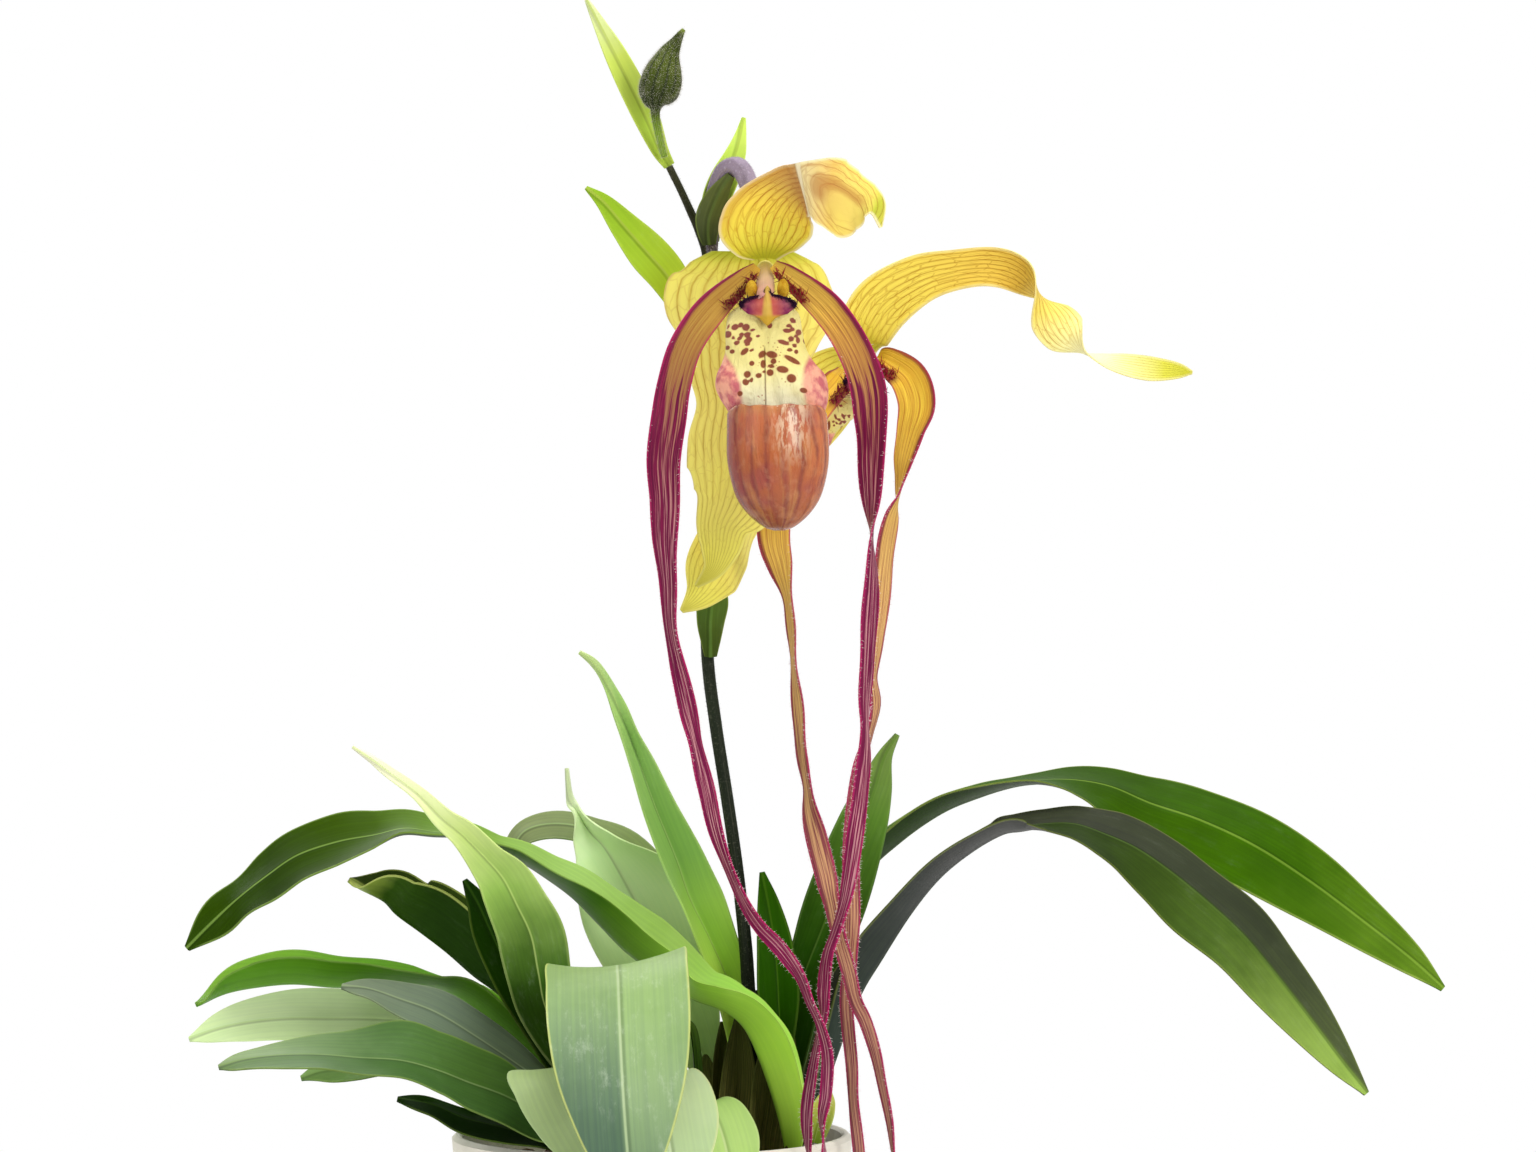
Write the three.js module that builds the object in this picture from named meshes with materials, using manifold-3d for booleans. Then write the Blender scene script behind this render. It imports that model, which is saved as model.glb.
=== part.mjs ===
// A flowering phragmipedium orchid in a round pot, one mesh for each piece of the plant.
// Millimetres, +Z up, the middle of the pot's underside at the origin; both flowers look along -Y.
import * as THREE from "three";
import { mergeVertices } from "three/addons/utils/BufferGeometryUtils.js";
import Module from "manifold-3d";

const wasm = await Module();
wasm.setup();

// Driving dimensions.
const POT_HEIGHT = 110;
const RIM_RADIUS = 60;
const BASE_RADIUS = 44;
const POT_WALL = 3;
const FLOOR_THICK = 5;
const BAND_HEIGHT = 12;
const BAND_STANDS_OUT = 2;
const DRAIN_HOLES = 5;
const DRAIN_RADIUS = 5;
const DRAIN_RING = 27;
const MIX_TOP = 99;
const GAP = 0.4;
const CHIPS = 30;
const CHIP_SEED = 7;
const LEAF_THICK = 1.1;
const BRACT_THICK = 1;
const PETAL_THICK = 0.8;
const LEAF_RIBS = 2;
const SEPAL_RIBS = 4;

// Colour and roughness of each material.
const MATERIALS = {
  pot: { color: 0xe2ddd0, roughness: 0.55 },
  bark: { color: 0x4a3322, roughness: 0.95 },
  crown: { color: 0x2b2a18, roughness: 0.8 },
  leaf: { color: 0x5d8f2e, roughness: 0.45 },
  stem: { color: 0x22281c, roughness: 0.6 },
  bract: { color: 0xa4c93a, roughness: 0.5 },
  ovary: { color: 0x6d5a63, roughness: 0.6 },
  sepal: { color: 0xe0c646, roughness: 0.5 },
  crimsonPetal: { color: 0x86204c, roughness: 0.5 },
  goldPetal: { color: 0xc07a4a, roughness: 0.5 },
  lip: { color: 0xc06a42, roughness: 0.3 },
  column: { color: 0xb04a5e, roughness: 0.45 },
  bud: { color: 0x4d6330, roughness: 0.6 },
};

const orchid = new THREE.Group();
orchid.name = "phragmipedium_orchid";

const add = (name, geometry, looks) => {
  const material = new THREE.MeshStandardMaterial({ ...looks, metalness: 0 });
  const mesh = new THREE.Mesh(geometry, material);
  mesh.name = name;
  orchid.add(mesh);
};

const degrees = (angle) => THREE.MathUtils.degToRad(angle);
const FRONT = new THREE.Vector3(0, -1, 0);

// A small seeded generator, so the bark lies the same way every time.
function seeded(seed) {
  let state = seed;
  return () => {
    state = (state * 1664525 + 1013904223) % 4294967296;
    return state / 4294967296;
  };
}

function geometryOf(points, triangles) {
  const geometry = new THREE.BufferGeometry();
  const flat = points.flatMap((point) => [point.x, point.y, point.z]);
  geometry.setAttribute("position", new THREE.Float32BufferAttribute(flat, 3));
  geometry.setIndex(triangles.flat());
  geometry.computeVertexNormals();
  return geometry;
}

// Closes a stack of rings with equal counts into one body that faces out.
function loftRings(rings) {
  const count = rings[0].length;
  const points = rings.flat();
  const triangles = [];
  for (let i = 0; i < rings.length - 1; i += 1) {
    for (let j = 0; j < count; j += 1) {
      const a = i * count + j;
      const b = i * count + ((j + 1) % count);
      triangles.push([a, b, b + count], [a, b + count, a + count]);
    }
  }
  const last = (rings.length - 1) * count;
  for (let j = 1; j < count - 1; j += 1) {
    triangles.push([0, j + 1, j], [last, last + j, last + j + 1]);
  }
  return facingOut(points, triangles);
}

function facingOut(points, triangles) {
  const volume = triangles.reduce((sum, [a, b, c]) => {
    const across = new THREE.Vector3().crossVectors(points[b], points[c]);
    return sum + points[a].dot(across);
  }, 0);
  const turned = volume < 0 ? triangles.map(([a, b, c]) => [a, c, b]) : triangles;
  return geometryOf(points, turned);
}

// Reads a table of rows along a smooth curve through all of them.
function smoothRows(rows) {
  const curve = (columns) =>
    new THREE.CatmullRomCurve3(
      rows.map((row) => new THREE.Vector3(...columns.map((column) => row[column] ?? 0))),
      false,
      "catmullrom",
      0.5,
    );
  const places = curve([0, 1, 2]);
  const shapes = curve([3, 4, 5]);
  const slants = curve([6]);
  return (t) => ({
    place: places.getPoint(t),
    along: places.getTangent(t),
    shape: shapes.getPoint(t),
    slant: slants.getPoint(t).x,
  });
}

// A blade is one thin closed ribbon. A row of its table is [x, y, z, width, turn, fold]: a point of its
// keel, its width there, its turn about its own length and the angle by which both halves fold up.
// A seventh value slants the row, so that it is no longer square to the keel.
// With no turn the blade's upper face looks to the front. A blade with a heading arches that way instead:
// its upper face looks along the heading where the blade hangs, and against it where the blade stands.
function blade(rows, { thick, ribs = LEAF_RIBS, heading = null, stepsPerRow = 1.5, round = 1 }) {
  const read = smoothRows(rows);
  const steps = Math.round((rows.length - 1) * stepsPerRow);
  const rings = [];
  for (let i = 0; i <= steps; i += 1) {
    rings.push(bladeRing(read(i / steps), { thick, ribs, heading, round }));
  }
  return closeBlade(rings, ribs);
}

function bladeRing({ place, along, shape, slant }, { thick, ribs, heading, round }) {
  const across = new THREE.Vector3();
  if (heading === null) {
    across.crossVectors(FRONT, along).normalize();
  } else {
    across.set(-Math.sin(degrees(heading)), Math.cos(degrees(heading)), 0);
    across.addScaledVector(along, -across.dot(along)).normalize();
  }
  across.applyAxisAngle(along, degrees(shape.y));
  const up = new THREE.Vector3().crossVectors(along, across);
  across.applyAxisAngle(up, degrees(slant));
  const half = Math.max(shape.x, 1) / 2;
  const fold = degrees(shape.z);
  const top = [];
  const bottom = [];
  for (let j = 0; j <= ribs; j += 1) {
    const s = (2 * j) / ribs - 1;
    const slope = Math.atan(round * Math.abs(s) ** (round - 1) * Math.tan(fold)) * Math.sign(s);
    const centre = place.clone();
    centre.addScaledVector(across, s * half * Math.cos(fold));
    centre.addScaledVector(up, Math.abs(s) ** round * half * Math.sin(fold));
    const normal = up.clone().multiplyScalar(Math.cos(slope));
    normal.addScaledVector(across, -Math.sin(slope));
    const mitre = s === 0 && round === 1 ? Math.cos(fold) : 1;
    const offset = normal.multiplyScalar(thick / 2 / mitre);
    top.push(centre.clone().add(offset));
    bottom.push(centre.clone().sub(offset));
  }
  return [...top, ...bottom];
}

// Top and bottom are cut into triangles along the same diagonals, so a twisted blade never crosses itself.
function closeBlade(rings, ribs) {
  const columns = ribs + 1;
  const size = 2 * columns;
  const triangles = [];
  const quad = (a, b, c, d) => triangles.push([a, b, c], [a, c, d]);
  for (let i = 0; i < rings.length - 1; i += 1) {
    const here = i * size;
    const next = here + size;
    for (let j = 0; j < ribs; j += 1) {
      quad(here + j, next + j, next + j + 1, here + j + 1);
      const low = here + columns + j;
      triangles.push([low, low + size + 1, low + size], [low, low + 1, low + size + 1]);
    }
    quad(here, here + columns, next + columns, next);
    quad(here + ribs, next + ribs, next + ribs + columns, here + ribs + columns);
  }
  const last = (rings.length - 1) * size;
  for (let j = 0; j < ribs; j += 1) {
    quad(j, j + 1, j + 1 + columns, j + columns);
    quad(last + j, last + j + columns, last + j + 1 + columns, last + j + 1);
  }
  return facingOut(rings.flat(), triangles);
}

// A stem is a round rod along a smooth line. A row of its table is [x, y, z, radius].
function stem(rows, sides = 10, stepsPerRow = 2) {
  const read = smoothRows(rows);
  const steps = Math.round((rows.length - 1) * stepsPerRow);
  const rings = [];
  let side = new THREE.Vector3(1, 0, 0);
  for (let i = 0; i <= steps; i += 1) {
    const { place, along, shape } = read(i / steps);
    side = side.clone().addScaledVector(along, -side.dot(along)).normalize();
    const other = new THREE.Vector3().crossVectors(along, side);
    rings.push(
      Array.from({ length: sides }, (_, j) => {
        const angle = (2 * Math.PI * j) / sides;
        const point = place.clone().addScaledVector(side, shape.x * Math.cos(angle));
        return point.addScaledVector(other, shape.x * Math.sin(angle));
      }),
    );
  }
  return loftRings(rings);
}

function solidOf(geometry) {
  const bare = geometry.clone();
  bare.deleteAttribute("normal");
  bare.deleteAttribute("uv");
  const merged = mergeVertices(bare, 1e-4);
  const vertProperties = new Float32Array(merged.attributes.position.array);
  const triVerts = new Uint32Array(merged.index.array);
  return new wasm.Manifold(new wasm.Mesh({ numProp: 3, vertProperties, triVerts }));
}

function meshOf(solid) {
  const { vertProperties, triVerts } = solid.getMesh();
  const geometry = new THREE.BufferGeometry();
  geometry.setAttribute("position", new THREE.BufferAttribute(new Float32Array(vertProperties), 3));
  geometry.setIndex(new THREE.BufferAttribute(new Uint32Array(triVerts), 1));
  geometry.computeVertexNormals();
  return geometry;
}

const fuse = (geometries) =>
  geometries.map(solidOf).reduce((whole, piece) => whole.add(piece));

// A round rod standing straight up, used to cut holes.
function post(x, y, low, high, radius, sides = 16) {
  const rod = new THREE.CylinderGeometry(radius, radius, high - low, sides);
  return rod.rotateX(Math.PI / 2).translate(x, y, (low + high) / 2);
}

// The pot: a tapered wall with a band round its rim, a floor and drain holes round the middle of it.
function potGeometry() {
  const innerRim = RIM_RADIUS - POT_WALL;
  const innerFloor = BASE_RADIUS - POT_WALL + 1;
  const bandFoot = POT_HEIGHT - BAND_HEIGHT;
  const wallAtBand = BASE_RADIUS + ((RIM_RADIUS - BAND_STANDS_OUT - BASE_RADIUS) * bandFoot) / POT_HEIGHT;
  const outline = [
    [0, 0],
    [BASE_RADIUS - 2, 0],
    [BASE_RADIUS, 2],
    [wallAtBand, bandFoot - 1],
    [RIM_RADIUS - 0.8, bandFoot],
    [RIM_RADIUS, POT_HEIGHT - 1.2],
    [RIM_RADIUS - 1.2, POT_HEIGHT],
    [innerRim + 0.8, POT_HEIGHT],
    [innerRim, POT_HEIGHT - 0.8],
    [innerFloor, FLOOR_THICK],
    [0, FLOOR_THICK],
  ].map(([radius, height]) => new THREE.Vector2(radius, height));
  const turned = new THREE.LatheGeometry(outline, 48).rotateX(Math.PI / 2);
  let pot = solidOf(turned);
  for (let i = 0; i < DRAIN_HOLES; i += 1) {
    const angle = (2 * Math.PI * i) / DRAIN_HOLES;
    const x = DRAIN_RING * Math.cos(angle);
    const y = DRAIN_RING * Math.sin(angle);
    pot = pot.subtract(solidOf(post(x, y, -1, FLOOR_THICK + 1, DRAIN_RADIUS)));
  }
  return meshOf(pot);
}

// Where the pot's inner wall stands at a height.
function innerRadius(height) {
  const low = BASE_RADIUS - POT_WALL + 1;
  const high = RIM_RADIUS - POT_WALL;
  return low + ((high - low) * (height - FLOOR_THICK)) / (POT_HEIGHT - 0.8 - FLOOR_THICK);
}

// Each growth is a fan of old leaf sheaths: [foot x, foot y, head x, head y, head height, radius].
const RIGHT_GROWTH = [
  [32, 7, 32, 7, 106, 12],
  [28, 12, 26, 18, 135, 5],
  [24, 18, 17.5, 25, 126, 5.5],
  [23, 22, 16, 35, 129, 4],
  [32, 4, 37.5, 0, 133, 4.2],
  [36, 9, 40.5, 10, 134, 4.6],
  [30, 9, 29.5, 6, 133, 3.6],
  [41, 11, 46, 14, 113, 4],
  [42, 0, 45, -3, 108, 4.5],
  [38, -6, 41, -16, 103.5, 4],
];
const LEFT_GROWTH = [
  [-10, -4, -10, -4, 105, 10],
  [-9, -4, -8, -6, 114, 5],
  [-12, -7, -11, -11, 106.5, 4.3],
  [-16, -1, -18, 0, 114.5, 4.5],
  [-18, 4, -24, 8, 118, 4],
  [-15, 6, -18, 15, 112.5, 4.5],
  [-5, -8, -1, -16, 106, 4],
  [-1, -4, 7, -8, 106, 4],
  [-12, -9, -11, -22, 107, 4],
  [3, -2, 12, 0, 112, 3],
  [-17, -5, -25, -3, 112, 4],
  [-17, -8, -19, -16, 106, 3.6],
];
const GROWTH_FOOT = 84;
const FOOT_STEP = 0.7;
const HOLE_CLEAR = 0.8;

function sheath([footX, footY, headX, headY, head, radius], index, swell = 0) {
  const foot = GROWTH_FOOT + FOOT_STEP * index;
  const rows = [
    [footX, footY, foot - swell, radius * 0.85 + swell],
    [footX, footY, MIX_TOP + 0.6, radius + swell],
    [(footX + headX) / 2, (footY + headY) / 2, (MIX_TOP + head) / 2, radius * 0.95 + swell],
    [headX, headY, head + swell, radius * 0.55 + swell],
  ];
  return stem(rows, 8, 1);
}

const growth = (sheaths) => meshOf(fuse(sheaths.map((one, index) => sheath(one, index))));

// The potting mix fills the pot; bark chips lie half sunk on it, clear of both growths.
function mixGeometry() {
  const random = seeded(CHIP_SEED);
  const low = FLOOR_THICK + GAP;
  const outline = [
    [0, low],
    [innerRadius(low) - GAP, low],
    [innerRadius(MIX_TOP) - GAP, MIX_TOP],
    [0, MIX_TOP],
  ].map(([radius, height]) => new THREE.Vector2(radius, height));
  let mix = solidOf(new THREE.LatheGeometry(outline, 40).rotateX(Math.PI / 2));
  for (let i = 0; i < CHIPS; i += 1) {
    const angle = 2.4 * i;
    const reach = 47 * Math.sqrt((i + 0.5) / CHIPS);
    const chip = new THREE.BoxGeometry(7 + 5 * random(), 4 + 4 * random(), 3 + 2 * random());
    chip.rotateX(0.5 * (random() - 0.5)).rotateY(0.5 * (random() - 0.5)).rotateZ(6.3 * random());
    chip.translate(reach * Math.cos(angle), reach * Math.sin(angle), MIX_TOP - 0.3);
    mix = mix.add(solidOf(chip));
  }
  for (const sheaths of [RIGHT_GROWTH, LEFT_GROWTH]) {
    sheaths.forEach((one, index) => {
      mix = mix.subtract(solidOf(sheath(one, index, HOLE_CLEAR)));
    });
  }
  return meshOf(mix);
}

// Leaves, from the pot's middle outwards; see blade() for the rows.
const LEAVES = {
  leaf_right_upper: [
    [47, 14, 116, 11, -60, 50],
    [49, 21, 130, 14, -70, 45],
    [51, 27, 146, 17, -78, 40],
    [56, 32, 166, 21, -84, 32],
    [64, 34, 185, 24.5, -87, 26],
    [75, 34, 196, 26, -92, 22],
    [88, 34, 205, 28, -92, 18],
    [100, 34, 210, 29, -92, 12],
    [110, 34, 213, 30, -92, 6],
    [118, 34, 214, 31, -88, 4],
    [129, 34, 214, 33, -76, 0],
    [140, 34, 212, 34, -64, -6],
    [152, 33, 207, 34, -52, -10],
    [167, 32, 202, 33, -44, -12],
    [184, 31, 194, 31, -38, -8],
    [201, 30, 183, 26, -34, -5],
    [217, 29, 171, 19, -32, -3],
    [231, 28, 160, 11, -32, 0],
    [241, 27, 151, 2, -32, 0],
  ],
  leaf_right_lower: [
    [47, -4, 108, 11, -50, 50],
    [51, -4, 122, 15, -64, 46],
    [56, -3, 137, 19, -80, 42],
    [62, -2, 152, 24, -84, 44],
    [68, -1, 162, 27, -94, 38],
    [77, 0, 176, 29, -96, 24],
    [86, 1, 187, 29, -96, 16],
    [96, 2, 195, 30, -94, 14],
    [105, 3, 200, 31, -94, 12],
    [111, 4, 201, 32, -88, 10],
    [118, 4, 202, 33, -82, 6],
    [127, 3, 202, 33, -74, 4],
    [136, 2, 199, 34, -68, 4],
    [145, 1, 195, 34, -62, 0],
    [154, -1, 189, 34, -54, -4],
    [164, -3, 181, 33, -48, -8],
    [176, -6, 170, 31, -46, -4],
    [186, -8, 158, 27, -44, -4],
    [196, -10, 145, 20, -42, -2],
    [205, -11, 133, 12, -40, 0],
    [213, -12, 123, 2, -40, 0],
  ],
  leaf_right_upright: [
    [41, 10, 137, 14, 20, 40],
    [44, 12, 152, 17, 18, 34],
    [51, 15, 170, 21, 14, 28],
    [57, 16, 185, 20, 10, 22],
    [63, 14, 201, 16, 4, 16],
    [67, 15, 212, 11, 0, 10],
    [70, 15, 222, 5, 0, 5],
    [74, 15, 229, 1.5, 0, 0],
  ],
  leaf_right_short: [
    [38, 0, 137, 12, 0, 45],
    [38, 1, 150, 15, 0, 35],
    [37, 2, 165, 12, 0, 25],
    [35, 3, 178, 7, 0, 12],
    [33, 3, 188, 1.5, 0, 0],
  ],
  leaf_right_young: [
    [48.5, -13, 108.5, 6, 0, 34],
    [50.5, -13, 116, 8, 0, 28],
    [52, -13, 121, 6, 0, 18],
    [53, -13, 124, 1.5, 0, 0],
  ],
  leaf_tall: [
    [26, 18, 138, 13, 12, 44],
    [23, 18, 153, 18, 10, 50],
    [17, 17, 167, 21, 16, 54],
    [11, 16, 179, 22, 28, 50],
    [7, 15, 191, 20, 18, 48],
    [1, 14, 206, 15.5, 14, 48],
    [-4, 13, 220, 12, 12, 50],
    [-8, 12, 231, 8, 4, 50],
    [-12, 11, 241, 4, 10, 18],
    [-15, 10, 247, 2.8, 0, 10],
    [-18, 9, 251, 2.4, 0, 5],
    [-22, 8, 254, 1.2, 0, 0],
  ],
  leaf_broad: [
    [16, 25, 128, 14, 0, 44],
    [10, 27, 144, 25, 2, 34],
    [2, 29, 161, 36, -2, 26],
    [-4, 31, 175, 38, -2, 20],
    [-10, 33, 186, 34, -8, 38],
    [-15, 34, 194, 26, -18, 50],
    [-20, 35, 199, 16, -12, 56],
    [-24, 35, 205, 6, 4, 66],
    [-26, 35, 209, 2.4, 0, 4],
    [-27, 35, 218, 1.2, 0, 0],
  ],
  leaf_back_arch: [
    [15, 35, 130, 12, 0, 42],
    [10, 39, 151, 18, 20, 32],
    [1, 43, 175, 20, 40, 24],
    [-9, 46, 191, 18, 52, 14],
    [-20, 47, 198, 16, 60, 0],
    [-31, 48, 200, 15, 60, 0],
    [-40, 48, 198, 13, 58, -2],
    [-44, 47, 192, 11, 54, 0],
    [-47, 46, 183, 1.5, 50, 0],
  ],
  leaf_long_left: [
    [41, -16, 106, 16, 86, 26],
    [38, -18, 119, 21, 90, 50],
    [33, -19, 134, 24, 86, 58],
    [28, -18, 144, 26, 90, 40],
    [21, -15, 149, 28, 88, 28],
    [12, -11, 152, 29, 86, 34],
    [3, -7, 158, 31, 82, 40],
    [-7, -5, 165, 32, 80, 44],
    [-15, -4, 173, 32, 82, 36],
    [-23, -3, 181, 30, 84, 26],
    [-31, -3, 187, 29, 86, 18],
    [-39, -3, 192, 28, 86, 16],
    [-47, -4, 195, 27, 88, 14],
    [-56, -4, 199, 27, 86, 10],
    [-65, -4, 200, 27, 82, 10],
    [-74, -3, 201, 27, 76, 10],
    [-83, -2, 199, 27, 68, 8],
    [-94, -1, 197, 27, 58, 6],
    [-106, 0, 193, 27, 56, 2],
    [-115, 1, 187, 26, 58, 0],
    [-124, 2, 180, 20, 58, 0],
    [-133, 3, 172, 11, 22, 4],
    [-140, 4, 165, 2, 20, 0],
  ],
  leaf_pale_rising: [
    [-11, -7, 114, 10, 0, 46],
    [-17, -8, 124, 12, 8, 46],
    [-25, -14, 136, 18, 10, 44],
    [-31, -20, 149, 21, 8, 40],
    [-33, -24, 160, 23, 4, 36],
    [-35, -26, 171, 24, 2, 34],
    [-39, -28, 180, 22, 4, 36],
    [-43, -29, 188, 19, 2, 36],
    [-48, -30, 194, 14, -2, 38],
    [-55, -31, 201, 11, 10, 42],
    [-61, -32, 206, 8, 8, 40],
    [-68, -33, 213, 5, 18, 32],
    [-76, -33, 219, 3.6, 16, 24],
    [-81, -34, 223, 2.4, 0, 8],
    [-87, -34, 227, 1.2, 0, 0],
  ],
  leaf_left_dark: [
    [-25, -6, 127, 10, 0, 42],
    [-32, -10, 142, 13, 0, 34],
    [-40, -16, 156, 13, 0, 28],
    [-47, -18, 171, 12, 0, 22],
    [-51, -19, 180, 7, 0, 12],
    [-55, -20, 187, 1.5, 0, 0],
  ],
  leaf_left_tip: [
    [-18, 0, 116, 12, 70, 50],
    [-30, -2, 133, 18, 92, 46],
    [-43, -3, 150, 25, 90, 52],
    [-53, -3, 158, 31, 88, 54],
    [-61, -3, 165, 33, 86, 62],
    [-69, -2, 171, 33, 88, 62],
    [-76, -1, 176, 31, 86, 52],
    [-80, 0, 180, 25, 84, 48],
    [-86, 1, 183, 14, 68, 32],
    [-91, 1, 186, 1.5, 60, 0],
  ],
  leaf_left_high: [
    [-19, 15, 114, 11, 64, 50],
    [-27, 15, 122, 15, 90, 40],
    [-36, 15, 130, 19, 90, 44],
    [-46, 15, 139, 22, 92, 42],
    [-56, 16, 148, 24, 94, 32],
    [-64, 17, 152, 26, 94, 14],
    [-74, 17, 153, 28, 92, 20],
    [-85, 17, 153, 30, 92, 28],
    [-97, 17, 153, 30, 90, 32],
    [-109, 17, 154, 30, 90, 34],
    [-120, 18, 153, 27, 88, 34],
    [-130, 18, 151, 18, 82, 30],
    [-139, 18, 147, 1.5, 70, 0],
  ],
  leaf_left_band: [
    [-27, -2, 115, 11, 64, 48],
    [-37, 0, 123, 17, 66, 4],
    [-48, 0, 131, 21, 68, 6],
    [-61, 0, 139, 24, 68, 6],
    [-73, 0, 143, 25, 64, 8],
    [-85, 0, 144, 26, 60, 4],
    [-97, 1, 144, 26, 58, 6],
    [-109, 1, 144, 25, 58, 8],
    [-120, 1, 143, 22, 58, 6],
    [-130, 1, 141, 14, 56, 6],
    [-139, 1, 138, 1.5, 50, 0],
  ],
  leaf_left_grey: [
    [-18, -16, 114, 10, 50, 46],
    [-23, -20, 119, 12, 70, 4],
    [-29, -23, 125, 15, 70, 2],
    [-37, -25, 131, 19, 68, 6],
    [-50, -26, 140, 22, 64, 6],
    [-63, -26, 148, 22, 60, 4],
    [-74, -25, 152, 18, 64, 4],
    [-83, -25, 155, 12, 68, 4],
    [-91, -25, 156, 1.5, 50, 0],
  ],
  leaf_front_left: [
    [-15, -25, 110, 10, 70, 44],
    [-20, -31, 114, 14, 78, 0],
    [-25, -38, 117, 19, 72, 0],
    [-32, -43, 120, 24, 64, 0],
    [-42, -49, 126, 28, 60, 6],
    [-52, -52, 130, 30, 60, 10],
    [-61, -56, 134, 31, 62, 12],
    [-71, -59, 137, 31, 64, 16],
    [-83, -61, 138, 29, 68, 10],
    [-94, -62, 139, 25, 72, 6],
    [-105, -63, 139, 20, 74, 2],
    [-115, -64, 138, 13, 70, 0],
    [-123, -64, 136, 1.5, 50, 0],
  ],
  leaf_left_low: [
    [-24, -10, 110, 10, 70, 44],
    [-31, -14, 114, 15, 74, 0],
    [-44, -22, 121, 17, 76, 2],
    [-59, -28, 128, 18, 82, 6],
    [-73, -32, 132, 18, 80, 8],
    [-85, -34, 132, 16, 72, 4],
    [-95, -35, 132, 10, 60, -4],
    [-102, -36, 130, 1.5, 50, 0],
  ],
  leaf_left_under: [
    [-14, -23, 104, 9, 70, 44],
    [-18, -30, 106, 12, 82, 2],
    [-26, -36, 110, 14, 78, 4],
    [-34, -40, 113, 17, 78, 4],
    [-43, -43, 116, 18, 74, -2],
    [-54, -45, 119, 17, 72, -4],
    [-63, -46, 123, 12, 72, -4],
    [-73, -46, 125, 1.5, 50, 0],
  ],
  leaf_front_corner: [
    [-8, -21, 110, 10, 8, 46],
    [-13, -29, 120, 14, 8, 36],
    [-19, -43, 130, 24, 14, 24],
    [-23, -60, 136, 34, 22, 14],
    [-21, -74, 133, 34, 12, 10],
    [-17, -82, 126, 31, 6, 8],
    [-12, -86, 118, 25, 0, 6],
    [-8, -88, 111, 15, 0, 4],
    [-6, -89, 105, 2, 0, 0],
  ],
  leaf_front: [
    [-7, -6, 117, 12, 0, 46],
    [-8, -13, 132, 18, 3, 38],
    [-8, -28, 149, 23, 6, 24],
    [-9, -45, 163, 40, 8, 10],
    [-8, -70, 160, 41.5, 8, 9],
    [-7, -88, 149, 41, 5, 9],
    [-6, -99, 136, 37, 3, 8],
    [-5, -106, 124, 29, 0, 8],
    [-4, -110, 114, 20, 0, 6],
    [-3, -112, 105, 10, 0, 4],
    [-3, -113, 99, 2, 0, 0],
  ],
  leaf_front_low: [
    [2, -15, 111, 10, 0, 46],
    [3, -28, 122, 14, 0, 36],
    [2, -46, 129, 24, 0, 22],
    [4, -64, 127, 30, 0, 12],
    [6, -77, 119, 30, 0, 10],
    [8, -84, 109, 20, 0, 6],
    [10, -87, 100, 2, 0, 0],
  ],
  leaf_front_round: [
    [10, -8, 109, 8, 0, 44],
    [13, -18, 116, 11, 0, 34],
    [16, -31, 121, 14, 0, 22],
    [19, -45, 120, 19, 0, 16],
    [22, -60, 114, 21, 0, 12],
    [24, -66, 105, 14, 0, 6],
    [25, -67, 97, 2, 0, 0],
  ],
  leaf_curled: [
    [12, 0, 114.5, 5, 60, 30],
    [13.5, -4, 124.5, 4, 50, 25],
    [13.5, -8, 134, 3, 40, 20],
    [12.5, -12, 142, 2.4, 30, 15],
    [10, -15, 145.5, 1.2, 20, 0],
  ],
};
const LEAF_HEADINGS = {
  leaf_front_corner: -100,
  leaf_front: -90,
  leaf_front_low: -84,
  leaf_front_round: -72,
};

const BRACTS = {
  bract_low: [
    [17.5, 6.5, 252.5, 5, 0, -45],
    [17.5, 6, 257, 8, 0, -45],
    [17.5, 6, 263, 11, 0, -42],
    [18, 5.5, 269, 12, 0, -38],
    [18, 5, 275, 8, 0, -30],
    [18.5, 5, 281, 1.2, 0, -20],
  ],
  bract_middle: [
    [12, 8, 352.5, 7, 0, 25],
    [9.5, 7, 359, 10, 0, 25],
    [4.5, 6.5, 367.5, 12.5, 0, 22],
    [-1.5, 6.5, 374.5, 12.8, 0, 20],
    [-8.5, 6, 382.5, 9, 0, 15],
    [-14.5, 6, 389.5, 5, 0, 10],
    [-20, 6, 394, 1.2, 0, 0],
  ],
  bract_front_flower: [
    [18, 7.5, 377.5, 6, 0, 50],
    [18, 8, 383, 9, 0, 50],
    [19, 8, 389.5, 11.5, 0, 46],
    [22, 7, 396.5, 11, -5, 40],
    [25, 6, 404, 7, 0, 28],
    [26.5, 5, 409.5, 3.6, 0, 15],
    [27.5, 5, 415, 1.2, 0, 0],
  ],
  bract_bud: [
    [5, 13, 401, 4.4, 0, 45],
    [2, 13, 406, 7, 0, 45],
    [-1.5, 12.5, 414.5, 9.5, 0, 40],
    [-6, 12, 424, 9.5, 0, 36],
    [-11, 11, 434, 7.5, 0, 28],
    [-16, 10, 443.5, 4, 0, 15],
    [-20, 9, 451, 1.2, 0, 0],
  ],
};

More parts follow.
